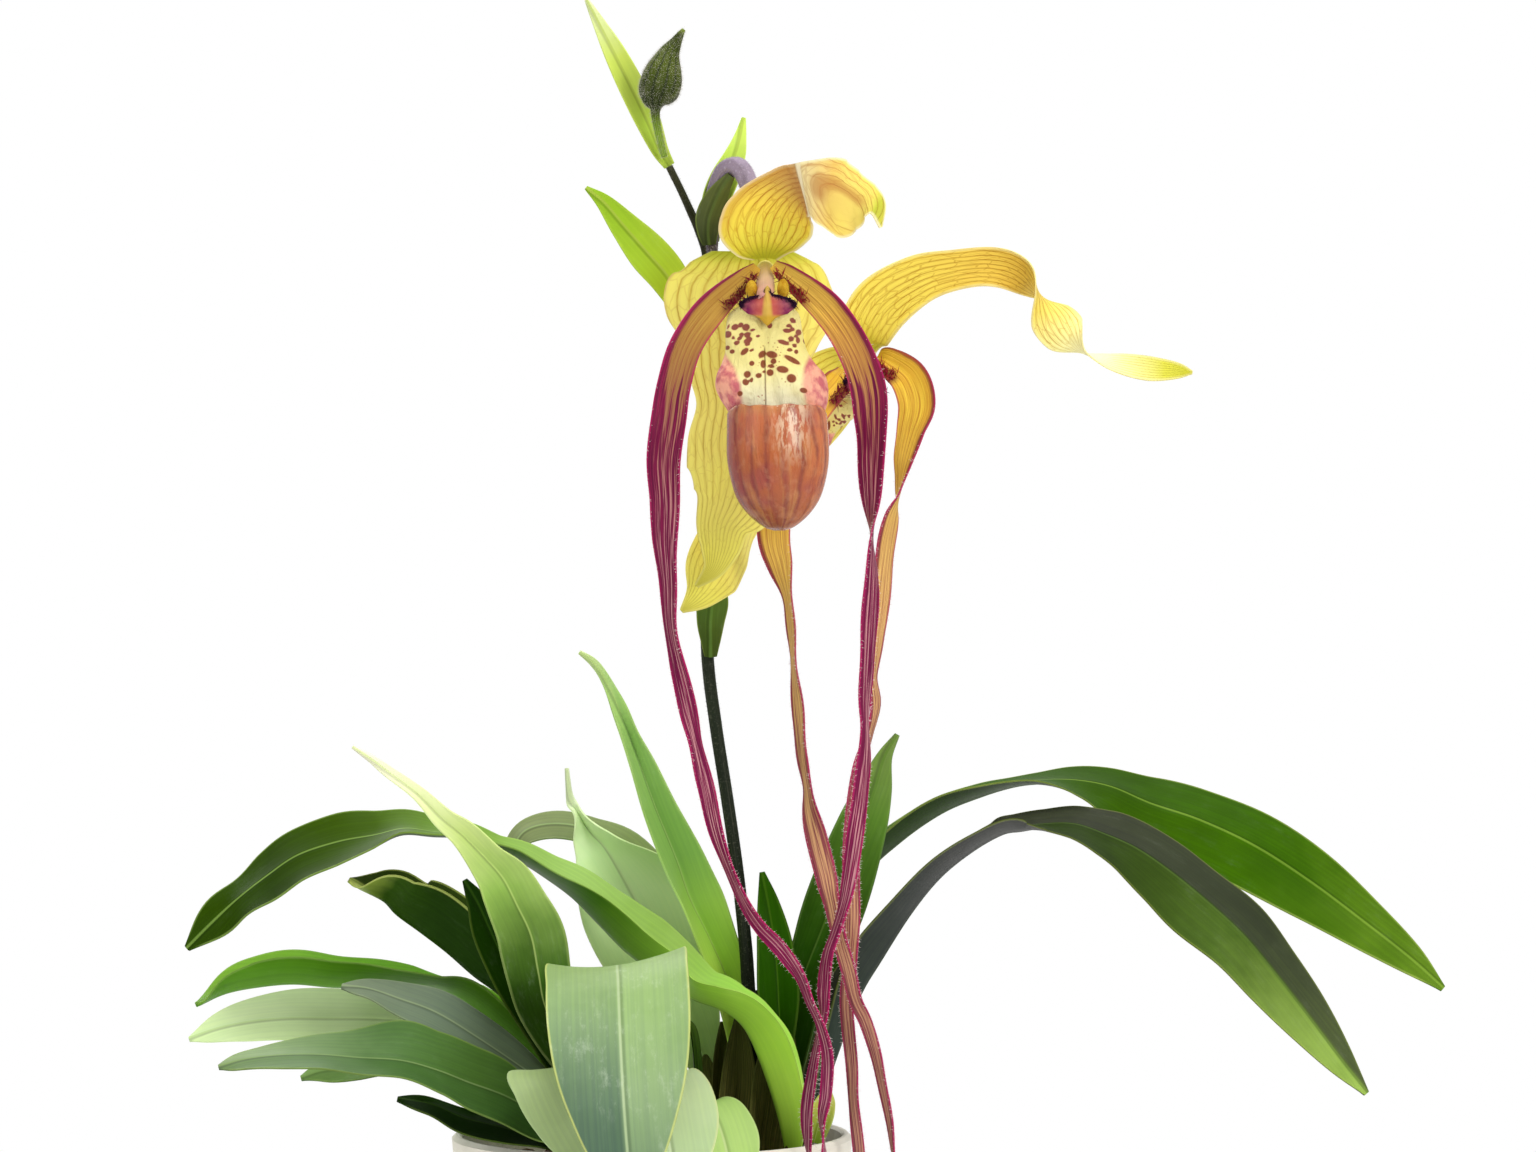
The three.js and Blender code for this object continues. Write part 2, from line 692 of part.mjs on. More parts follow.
const SEPALS = {
  dorsal_sepal_1: [
    [34, -26, 371, 8, 0, 18, 0],
    [34, -30, 374.75, 20, 0, 22, 10],
    [34.75, -35, 379.5, 29, 0, 22, 16],
    [36, -38, 382.75, 29.5, 0, 20, 21],
    [38, -40.5, 385.5, 27, 0, 18, 25],
    [40.25, -43, 387.5, 22.5, 3, 15, 24],
    [42.5, -46, 388.75, 18.5, 8, 11, 21],
    [44.5, -49, 389, 17, 12, 7, 22],
    [46.5, -52, 388.75, 17, 14, 3, 22],
    [49.5, -54.5, 387.75, 19.5, 12, -3, 19],
    [53, -56.5, 386.75, 22.5, 8, -9, 13],
    [56.25, -58, 386, 23, 2, -14, 6],
    [60, -59.5, 385.75, 18, -6, -13, 5],
    [64, -61, 385.25, 11.5, -22, -6, 12],
    [66.5, -62, 383, 7, -34, 0, 23],
    [67.25, -62, 377.25, 1.2, -40, 0, 18],
  ],
  dorsal_sepal_2: [
    [64, 22, 344, 6, 0, 10],
    [64, 18, 350, 16, 0, 18],
    [69, 16, 359, 18.5, 0, 14],
    [80, 14, 366.5, 15.5, 0, 10],
    [91, 13, 369.5, 12.5, 0, 8],
    [102, 12, 370.5, 12, 0, 8],
    [110, 11, 368.5, 12.5, 30, 6],
    [115.5, 10, 363.5, 15, 80, 5],
    [120.5, 9, 356.5, 17.5, 140, 8],
    [124.5, 8, 349.5, 13, 190, 6],
    [130, 8, 344.5, 6, 262, 4],
    [136, 8, 342, 6.5, 305, 4],
    [143, 8, 340.5, 7.6, 335, 6],
    [150.5, 9, 339.5, 7.6, 350, 6],
    [158.5, 10, 339, 5, 357, 4],
    [163, 11, 338.5, 1.2, 360, 0],
  ],
  synsepal_1: [
    [30, -22, 373, 24, 0, -4],
    [30, -21.5, 369.5, 37, 0, -8],
    [30, -20.5, 365, 46, 0, -11],
    [29.5, -19, 359.5, 52, 0, -12],
    [29, -17.5, 353, 51, 0, -13],
    [28.5, -16, 346, 43, 0, -14],
    [27.5, -14, 338, 35, 0, -15],
    [27.5, -13, 328, 29, 0, -15],
    [27, -13, 317.5, 33, 0, -14],
    [27, -13, 307, 33.5, 0, -14],
    [24.5, -13, 298.5, 25.5, 0, -12],
    [21.5, -13, 292, 17, 0, -11],
    [20.5, -13.5, 285, 12, 0, -8],
    [18.5, -14.5, 279, 6.5, 0, -4],
    [13.5, -15, 274, 1.5, 0, 0],
  ],
  synsepal_2: [
    [63.5, 28.5, 342, 7, 0, 0],
    [58, 30, 339, 19, 0, -8],
    [49, 32, 330.5, 26, -6, -12],
    [40.5, 31, 320, 27, -20, -12],
    [32.5, 27, 308, 26, -40, -12],
    [27, 18, 296.5, 24, -48, -10],
    [23, 6, 286.5, 22, -36, -10],
    [18.5, -2, 278.5, 19, -18, -8],
    [14.5, -6, 271.5, 10, -4, -4],
    [9, -8, 266.5, 1.5, 0, 0],
  ],
};

const PETALS = {
  petal_1_left: [
    [31.5, -36, 367.5, 3, 10, 10],
    [27.5, -38.5, 363.5, 6.4, 8, 15],
    [18, -42, 354.5, 9.5, 0, 14],
    [11, -46, 344, 9.8, 0, 12],
    [7.5, -48, 332.5, 10, 0, 10],
    [6, -49, 322.5, 10.4, 0, 8],
    [4.5, -50, 310.5, 10, 0, 8],
    [5, -50, 299, 9, 10, 8],
    [5, -50, 287.5, 8, 20, 6],
    [6, -50, 275.5, 6.5, 40, 5],
    [6.5, -50, 263.5, 6, 48, 5],
    [8.5, -50, 252.5, 5.6, 42, 5],
    [11, -50, 241, 5.5, 5, 4],
    [13.5, -50, 229, 5.2, -40, 4],
    [17, -50, 215, 5, -5, 4],
    [20.5, -51, 200.5, 4.8, 38, 4],
    [27, -52, 184.5, 4.5, 52, 4],
    [32, -53, 176, 4.4, 30, 4],
    [38.5, -54, 169, 4.4, 5, 4],
    [44, -55, 161.5, 4.2, 45, 4],
    [47, -56, 154, 4, 50, 4],
    [50, -57, 147.5, 3.8, 52, 4],
    [52, -56, 138.5, 3.8, 30, 4],
    [51.5, -55, 127.5, 3.6, 0, 4],
    [50.5, -54, 119.5, 3.4, 60, 4],
    [51, -53, 110.5, 3.2, 110, 4],
    [51.5, -52, 100.5, 3, 170, 3],
    [50.5, -51, 92, 2.4, 200, 2],
    [51.5, -50, 84.5, 1.2, 220, 0],
  ],
  petal_1_right: [
    [36.5, -36, 368, 3.4, -10, 10],
    [41, -38.5, 364.5, 6.6, -8, 15],
    [50.5, -42, 356.5, 9.5, 0, 14],
    [57, -46, 348, 10, 0, 12],
    [61.5, -48, 339, 10.3, 0, 10],
    [64, -49, 330.5, 10.6, 0, 8],
    [65, -50, 319.5, 10, 28, 8],
    [65, -50, 309, 9.2, 32, 8],
    [65, -50, 297.5, 8, 58, 6],
    [65, -50, 288.5, 7, 88, 5],
    [65, -50, 276, 6.6, 130, 5],
    [64, -49, 257, 6, 140, 5],
    [63, -49, 241, 5.6, 124, 4],
    [63, -49, 232.5, 5.5, 120, 4],
    [62.5, -48, 221, 5.3, 140, 4],
    [60.5, -48, 204.5, 5.1, 172, 4],
    [57.5, -48, 184.5, 4.7, 222, 4],
    [54.5, -47, 174, 4.4, 232, 4],
    [52, -47, 166.5, 4.2, 230, 4],
    [51, -46, 156.5, 4, 200, 4],
    [51, -46, 149.5, 3.8, 235, 4],
    [49.5, -46, 142.5, 3.6, 245, 4],
    [47.5, -46, 132, 3.6, 215, 4],
    [46, -46, 121.5, 3.6, 190, 4],
    [46.5, -46, 110.5, 3.3, 240, 4],
    [47.5, -46, 101.5, 3, 290, 3],
    [46, -46, 93, 2.2, 330, 2],
    [46.5, -46, 87, 1.2, 350, 0],
  ],
  petal_2_left: [
    [58, 17, 339, 5, 10, 10],
    [55.5, 6, 335, 9, 10, 12],
    [48.5, -2, 326.5, 10, 5, 10],
    [42.5, -5, 315.5, 10, 0, 8],
    [37.5, -6, 302, 10, 0, 8],
    [36.5, -7, 289.5, 10, 5, 6],
    [38.5, -8, 280, 8.5, 30, 5],
    [41, -9, 270, 7, 65, 5],
    [42, -10, 259, 6.4, 70, 4],
    [43, -12, 246.5, 6, 70, 4],
    [44, -13, 235, 5.8, 50, 4],
    [45, -14, 224, 5.6, 60, 4],
    [46.5, -16, 215, 5.6, 62, 4],
    [47.5, -17, 207, 6, 38, 4],
    [49.5, -19, 198, 6.6, 5, 4],
    [52, -21, 188, 6.4, 0, 4],
    [53.5, -23, 181.5, 5.8, 35, 4],
    [56, -25, 170, 5, 30, 4],
    [58.5, -28, 161, 4.6, 20, 4],
    [60.5, -32, 152.5, 4.2, 15, 4],
    [63.5, -33, 146, 4, 10, 4],
    [66.5, -34, 136.5, 3.7, 25, 4],
    [68.5, -34, 127, 3.3, 40, 4],
    [70.5, -34, 117, 3, 45, 4],
    [71.5, -34, 108.5, 2.6, 70, 3],
    [72.5, -34, 100, 2.2, 110, 2],
    [73, -34, 93, 1.2, 130, 0],
  ],
  petal_2_right: [
    [68, 15, 343, 6, -10, 12],
    [71, 9, 341.5, 9.5, -15, 14],
    [77, 5, 336.5, 12, -10, 14],
    [79.5, 4, 328.5, 11.5, 0, 12],
    [78, 3, 320.5, 9.5, 30, 10],
    [76, 2, 312.5, 8.5, 42, 8],
    [75, 2, 306, 7.6, 68, 6],
    [74, 1, 301, 7, 92, 5],
    [72, 0, 294.5, 6.6, 130, 5],
    [70, -1, 284, 6.4, 150, 4],
    [68.5, -3, 269, 6, 160, 4],
    [67, -5, 257.5, 5.8, 150, 4],
    [66, -7, 247.5, 5.6, 120, 4],
    [67, -8, 239, 5.4, 130, 4],
    [65, -10, 229.5, 5.2, 110, 4],
    [62, -12, 220, 5.2, 140, 4],
    [60.5, -14, 207.5, 5.2, 165, 4],
    [59.5, -16, 195.5, 5.2, 180, 4],
    [59.5, -17, 185.5, 5.2, 190, 4],
    [59.5, -19, 175.5, 5.2, 185, 4],
    [59, -21, 163.5, 4.8, 210, 4],
    [58, -23, 152, 4.2, 200, 4],
    [58.5, -25, 143, 4, 190, 4],
    [59.5, -27, 132.5, 3.8, 200, 4],
    [60, -29, 121.5, 3.6, 215, 4],
    [61.5, -30, 108, 3.6, 190, 4],
    [62, -31, 98.5, 3, 240, 3],
    [61, -31, 90, 2.2, 280, 2],
    [62, -31, 83, 1.2, 300, 0],
  ],
};

const FLOWER_STEM = [
  [30, 5, 137.5, 2.2],
  [29, 6, 151, 2.1],
  [28, 7, 166, 2],
  [25.5, 9, 188.5, 1.9],
  [22.5, 10, 209.5, 1.9],
  [19, 11, 232, 1.9],
  [16.5, 12, 253, 1.9],
  [16, 12.5, 282, 1.9],
  [16, 13, 315, 1.8],
  [16, 13, 347, 1.8],
  [16.5, 13, 363.5, 1.8],
  [16.5, 13, 374, 1.7],
  [14, 13, 381.5, 1.4],
  [11.5, 12.6, 387, 1.2],
  [8.5, 11, 393.5, 1.1],
  [5, 9, 400.5, 1.1],
];
const OVARIES = {
  ovary_1: [
    [18, 3.8, 374, 1.2],
    [18, 3.6, 382.5, 1.6],
    [19, 1.8, 391.5, 2],
    [21.5, -1, 398, 2.1],
    [25, -4, 399.5, 2.2],
    [28, -7, 396.5, 2.2],
    [30.5, -11, 388, 2.2],
    [32.5, -15, 378, 2.1],
    [33.5, -16.6, 371, 2.2],
    [34, -18.4, 368.5, 2.3],
  ],
  ovary_2: [
    [18, 15, 345.5, 1.4],
    [23, 25, 349.5, 1.7],
    [34, 39, 355, 2],
    [46, 46, 357, 2.1],
    [56.5, 46, 353.5, 2.1],
    [61.5, 40, 348, 2.1],
    [63, 33, 344, 2.2],
  ],
};
const COLUMNS = {
  column_1: [
    [34, -23.6, 368, 2.4],
    [34, -32, 365, 2.6],
    [34, -41, 360.5, 2.7],
    [34, -49.4, 357, 2.2],
  ],
  column_2: [
    [63.5, 26.6, 341, 2.2],
    [63.5, 20, 339.5, 2.3],
    [64, 12, 337.5, 2.2],
    [64, 2.3, 335.5, 1.8],
  ],
};
const BUD = [
  [3.5, 7.5, 403.5, 0.9],
  [2, 5, 409.5, 1.1],
  [1, 2, 415, 1.3],
  [1, 0.5, 417.5, 1.8],
  [1, 0, 419, 4],
  [1.5, 0, 421.5, 5.8],
  [2.5, 0, 425, 6.2],
  [3.5, 0, 429, 5.4],
  [5, 0, 433.5, 3.4],
  [7, 0, 437, 1.9],
  [8.5, 0, 439.5, 1.1],
  [9.5, 0, 441, 0.6],
];

// The lip in its own place: x across, z up from where it leaves the column, y from its middle with the
// front negative. A row is [z, middle x, half width, front y, back y].
const POUCH_ROWS = [
  [-64.3, 4.4, 1.5, -1.5, 1.5],
  [-63.2, 4.4, 4.5, -4.5, 4.5],
  [-60, 4.3, 8.5, -8, 8],
  [-55.6, 4.2, 11.8, -11, 10.5],
  [-50.5, 4.2, 13.6, -13, 12],
  [-43.9, 4.1, 14.8, -14.4, 12.6],
  [-37, 4, 14.8, -14.6, 12.6],
  [-30.5, 3.8, 14.5, -14, 12.4],
];
// The open front of the pouch, measured from its own middle.
const POCKET_MIDDLE = -8.6;
const POCKET_ROWS = [
  [-51, 4.2, 3, -1.8, 2],
  [-47, 4.2, 8, -3.4, 3],
  [-40, 4.1, 10.4, -4.4, 3.5],
  [-34, 4, 10.4, -4.4, 3.5],
  [-29, 3.8, 10, -4, 3.5],
];
const LOBE_ROWS = [
  [-44, 4, 10, -2, 9],
  [-38, 4, 12, -4, 10.2],
  [-33, 3.9, 13, -6.6, 10.8],
  [-29, 3.6, 14.4, -7, 11.2],
  [-26, 3, 15.7, -7, 11.2],
  [-22.5, 2.3, 16.4, -6.8, 11],
  [-18.8, 2, 15.7, -6.2, 10.6],
  [-15.6, 1.3, 13.6, -4.8, 10],
  [-11.5, 0.6, 11.8, -3, 10],
  [-6, 0, 11.2, -1.2, 10.6],
  [-1, 0, 10.2, 2, 11.4],
  [1.6, 0, 7, 5.5, 13],
  [3, 0, 4, 10.5, 14.6],
];

// Rings of the lip: an egg-shaped section with a groove down its front.
function lipRings(rows, sides, groove = 0) {
  return rows.map(([z, middle, half, front, back]) =>
    Array.from({ length: sides }, (_, j) => {
      const angle = (2 * Math.PI * j) / sides;
      const dent = Math.sin(angle) < -0.99 ? groove : 0;
      const y = (front + back) / 2 + ((back - front) / 2) * Math.sin(angle) + dent;
      return new THREE.Vector3(middle + half * Math.cos(angle), y, z);
    }),
  );
}

// The slipper: a pouch that is open in front, and the infolded lobes that rise behind the opening.
function lipSolid(sides) {
  const pouch = solidOf(loftRings(lipRings(POUCH_ROWS, sides)));
  const pocket = loftRings(lipRings(POCKET_ROWS, sides)).translate(0, POCKET_MIDDLE, 0);
  const lobes = solidOf(loftRings(lipRings(LOBE_ROWS, sides, 1.2)));
  return pouch.subtract(solidOf(pocket)).add(lobes);
}

const LIPS = {
  lip_1: { at: [33.6, -47, 354.5], lean: 0, size: 1, sides: 24 },
  lip_2: { at: [58.8, 10, 330.5], lean: 64, size: 0.58, sides: 16 },
};

// The shield over the column: two wings and a point that hangs between them.
function shieldGeometry() {
  const outline = [
    [0, -4.4],
    [-2.4, -1.6],
    [-5.6, -0.6],
    [-8, 1.2],
    [-8.2, 2.6],
    [-5.4, 2.4],
    [-2.6, 4],
    [0, 3],
    [2.6, 4],
    [5.4, 2.4],
    [8.2, 2.6],
    [8, 1.2],
    [5.6, -0.6],
    [2.4, -1.6],
  ].map(([x, z]) => new THREE.Vector2(x, z));
  const plate = new THREE.ExtrudeGeometry(new THREE.Shape(outline), {
    depth: 1.6,
    bevelEnabled: false,
  });
  return plate.rotateX(Math.PI / 2);
}

const SHIELDS = {
  column_1: { at: [34.6, -48.6, 357], lean: 0, size: 1 },
  column_2: { at: [64, 3, 335], lean: 12, size: 0.8 },
};

function placed(geometry, { at, lean, size }) {
  return geometry.scale(size, size, size).rotateY(degrees(lean)).translate(...at);
}

add("pot", potGeometry(), MATERIALS.pot);
add("potting_mix", mixGeometry(), MATERIALS.bark);
add("growth_right", growth(RIGHT_GROWTH), MATERIALS.crown);
add("growth_left", growth(LEFT_GROWTH), MATERIALS.crown);

for (const [name, rows] of Object.entries(LEAVES)) {
  const heading = LEAF_HEADINGS[name] ?? null;
  add(name, blade(rows, { thick: LEAF_THICK, heading }), MATERIALS.leaf);
}
for (const [name, rows] of Object.entries(BRACTS)) {
  add(name, blade(rows, { thick: BRACT_THICK }), MATERIALS.bract);
}
for (const [name, rows] of Object.entries(SEPALS)) {
  const form = { thick: PETAL_THICK, ribs: SEPAL_RIBS, round: 2 };
  add(name, blade(rows, form), MATERIALS.sepal);
}
for (const [name, rows] of Object.entries(PETALS)) {
  const material = name.startsWith("petal_1") ? MATERIALS.crimsonPetal : MATERIALS.goldPetal;
  add(name, blade(rows, { thick: PETAL_THICK }), material);
}

add("flower_stem", stem(FLOWER_STEM, 9, 1.5), MATERIALS.stem);
add("bud", stem(BUD, 10, 1.5), MATERIALS.bud);
for (const [name, rows] of Object.entries(OVARIES)) {
  add(name, stem(rows, 8, 1.5), MATERIALS.ovary);
}
for (const [name, rows] of Object.entries(COLUMNS)) {
  const shield = placed(shieldGeometry(), SHIELDS[name]);
  add(name, meshOf(fuse([stem(rows, 10), shield])), MATERIALS.column);
}
for (const [name, place] of Object.entries(LIPS)) {
  add(name, placed(meshOf(lipSolid(place.sides)), place), MATERIALS.lip);
}

export default orchid;
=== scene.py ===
import math

import bpy
import numpy as np
from mathutils import Matrix, Vector


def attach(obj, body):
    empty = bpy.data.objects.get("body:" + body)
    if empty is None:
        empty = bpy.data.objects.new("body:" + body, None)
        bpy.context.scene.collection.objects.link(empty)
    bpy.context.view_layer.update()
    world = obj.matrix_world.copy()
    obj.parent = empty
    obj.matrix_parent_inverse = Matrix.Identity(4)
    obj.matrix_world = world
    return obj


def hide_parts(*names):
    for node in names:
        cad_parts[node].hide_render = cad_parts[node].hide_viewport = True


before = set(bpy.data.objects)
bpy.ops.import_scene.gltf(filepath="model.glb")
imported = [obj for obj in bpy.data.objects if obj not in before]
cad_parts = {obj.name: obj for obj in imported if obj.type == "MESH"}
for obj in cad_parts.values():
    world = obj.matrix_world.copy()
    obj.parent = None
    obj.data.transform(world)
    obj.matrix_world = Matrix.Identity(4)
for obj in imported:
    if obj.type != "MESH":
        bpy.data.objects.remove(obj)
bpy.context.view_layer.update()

MM = 0.001
FRONT = np.array([0.0, -1.0, 0.0])
FULL_TURN = 2 * math.pi


# ---------------------------------------------------------------- colours and materials


def hue(code):
    """A colour written as in a paint chart, such as "c8a040", in the light's own scale."""
    parts = [int(code[i : i + 2], 16) / 255 for i in (0, 2, 4)]
    linear = [p / 12.92 if p <= 0.04045 else ((p + 0.055) / 1.055) ** 2.4 for p in parts]
    return (*linear, 1.0)


def stops(codes):
    """Colours at even steps along a ramp, from a line such as "24400c 345808 608020"."""
    codes = codes.split()
    return [(i / (len(codes) - 1), code) for i, code in enumerate(codes)]


def stops_at(text):
    """Colours at places of their own along a ramp, from a line such as "0 dcb040, 0.2 a86c60"."""
    pairs = (part.split() for part in text.split(","))
    return [(float(place), code) for place, code in pairs]


class Wire:
    """A value or colour that runs between two nodes of a material."""

    def __init__(self, paint, socket):
        self.paint = paint
        self.socket = socket

    def __add__(self, other):
        return self.paint.maths("ADD", self, other)

    def __sub__(self, other):
        return self.paint.maths("SUBTRACT", self, other)

    def __rsub__(self, other):
        return self.paint.maths("SUBTRACT", other, self)

    def __mul__(self, other):
        return self.paint.maths("MULTIPLY", self, other)

    def __truediv__(self, other):
        return self.paint.maths("DIVIDE", self, other)

    def __rtruediv__(self, other):
        return self.paint.maths("DIVIDE", other, self)

    def __abs__(self):
        return self.paint.maths("ABSOLUTE", self)

    __radd__ = __add__
    __rmul__ = __mul__


class Paint:
    """One material and the nodes that make its looks."""

    def __init__(self, name, roughness=0.5, shine=0.12):
        self.material = bpy.data.materials.new(name)
        self.material.use_nodes = True
        self.tree = self.material.node_tree
        self.shader = self.tree.nodes["Principled BSDF"]
        self.shader.inputs["Roughness"].default_value = roughness
        self.shader.inputs["Specular IOR Level"].default_value = shine

    def add(self, kind, settings=None, sockets=None, out=0):
        """A new node with its settings and what its sockets are given; the wire of one output."""
        node = self.tree.nodes.new(kind)
        for key, value in (settings or {}).items():
            if key == "stops":
                self.set_stops(node.color_ramp, value)
            else:
                setattr(node, key, value)
        for key, value in (sockets or {}).items():
            self.join(value, node.inputs[key])
        return Wire(self, node.outputs[out])

    def set_stops(self, ramp, places):
        while len(ramp.elements) < len(places):
            ramp.elements.new(0.5)
        for element, (place, code) in zip(ramp.elements, places):
            element.position = place
            element.color = hue(code)

    def join(self, value, socket):
        if isinstance(value, Wire):
            self.tree.links.new(value.socket, socket)
        else:
            socket.default_value = value

    def feed(self, **values):
        """Gives the shader's own sockets their values or wires."""
        for key, value in values.items():
            self.join(value, self.shader.inputs[key.replace("_", " ")])

    def maths(self, kind, *values):
        return self.add("ShaderNodeMath", {"operation": kind}, dict(enumerate(values)))

    def marks(self, name):
        """The three values that a piece carries at each point under this name."""
        vector = self.add("ShaderNodeAttribute", {"attribute_name": name}, out="Vector")
        node = self.add("ShaderNodeSeparateXYZ", None, {0: vector}).socket.node
        return [Wire(self, node.outputs[i]) for i in range(3)]

    def place(self):
        return self.add("ShaderNodeTexCoord", out="Object")

    def vector(self, x, y, z=0.0):
        return self.add("ShaderNodeCombineXYZ", None, {0: x, 1: y, 2: z})

    def noise(self, vector, scale, detail=2.0, rough=0.5):
        sockets = {"Vector": vector, "Scale": scale, "Detail": detail, "Roughness": rough}
        return self.add("ShaderNodeTexNoise", None, sockets, out="Fac")

    def cells(self, vector, scale, feature="F1"):
        sockets = {"Vector": vector, "Scale": scale}
        return self.add("ShaderNodeTexVoronoi", {"feature": feature}, sockets, out="Distance")

    def rise(self, value, low, high, start=0.0, end=1.0):
        """Goes softly from start to end while value goes from low to high."""
        sockets = {0: value, 1: low, 2: high, 3: start, 4: end}
        return self.add("ShaderNodeMapRange", {"interpolation_type": "SMOOTHSTEP"}, sockets)

    def ramp(self, value, places):
        return self.add("ShaderNodeValToRGB", {"stops": places}, {0: value})

    def blend(self, share, first, second, way="MIX"):
        """The first colour, covered by the second where share is 1."""
        settings = {"data_type": "RGBA", "blend_type": way}
        first, second = (hue(c) if isinstance(c, str) else c for c in (first, second))
        return self.add("ShaderNodeMix", settings, {0: share, 6: first, 7: second}, out=2)

    def layers(self, ground, *coats):
        """A ground colour under coats, each of them (share, colour) or (share, colour, way)."""
        for share, tint, *way in coats:
            ground = self.blend(share, ground, tint, *way)
        return ground

    def from_line(self, lanes):
        """How far a value is from the nearest half step, where a vein or a line runs."""
        return abs(self.maths("FRACT", lanes) - 0.5)

    def bump(self, height, strength, depth):
        sockets = {"Height": height, "Strength": strength, "Distance": depth}
        return self.add("ShaderNodeBump", None, sockets)


def leaf_finish(name, upper, under, margin, rib, edge=0.4, shade=None, scuffs=0.1):
    """Leaf tissue: a smooth clouded skin, a fine midrib, a thin light margin and a darker back.

    Upper and under are the colours of both faces from base to tip; edge and scuffs say how
    strongly the margin and the pale scuffing show. Shade is (side, colour, amount, from, to) for
    painted shade over one half of the leaf, from the first place along it to full strength at the
    second.
    """
    roughness = 0.42
    paint = Paint(name, roughness, 0.03)
    _, along, side = paint.marks("blade")
    wide, far, half = paint.marks("span")
    cloud = paint.noise(paint.place(), 26.0, 4.0, 0.6)
    drift = along + (cloud - 0.5) * 0.16
    veins = paint.noise(paint.vector(wide * 1.1, far * 0.012), 1.0)
    fine = paint.noise(paint.place(), 500.0, 2.0, 0.6)
    rim = paint.rise(half - abs(wide), 0.2, 0.7, 1.0, 0.0) * paint.rise(half, 1.5, 4.0)
    # Painted shade in a narrow band along one side of the midrib.
    midrib_shade = paint.rise(abs(wide - 0.75), 0.1, 0.9, 1.0, 0.0)
    line = paint.rise(abs(wide), 0.15, 0.6, 1.0, 0.0)
    lean = paint.rise(wide, -9.0, 9.0) * 0.15
    front = paint.blend(lean, paint.ramp(drift, upper), "20380c", "SOFT_LIGHT")
    # Painted shade darkening one half of the leaf.
    if shade:
        half_side, tint, amount, low, high = shade
        reach = paint.rise(along, low, high, 0.0, amount)
        front = paint.blend(paint.rise(wide * half_side, -0.4, 1.6) * reach, front, tint)
    front = paint.layers(front, (midrib_shade * 0.3, "182808"), (line * 0.6, rib), (rim * edge, margin))
    back = paint.layers(paint.ramp(drift, under), (line * 0.35, rib), (rim * edge, margin))
    scuff = paint.noise(paint.vector(wide * 0.25, far * 0.09), 1.0, 5.0, 0.8)
    bloom = paint.rise(scuff, 0.5, 0.75) * paint.rise(cloud, 0.4, 0.62)
    colour = paint.layers(
        paint.blend(paint.rise(side, -0.1, 0.1), back, front),
        (paint.rise(veins, 0.38, 0.66) * 0.22, "e8f0c8", "SOFT_LIGHT"),
        (paint.rise(cloud, 0.62, 0.36) * 0.2, "283c10", "SOFT_LIGHT"),
        (bloom * scuffs, "dfe8d4"),
    )
    rough = roughness + (fine - 0.5) * 0.1 + bloom * 0.2
    relief = veins * 0.5 + fine * 0.08 - line * 0.4 - midrib_shade * 0.5
    paint.feed(Base_Color=colour, Roughness=rough, Normal=paint.bump(relief, 0.15, 0.0004))
    return paint.material


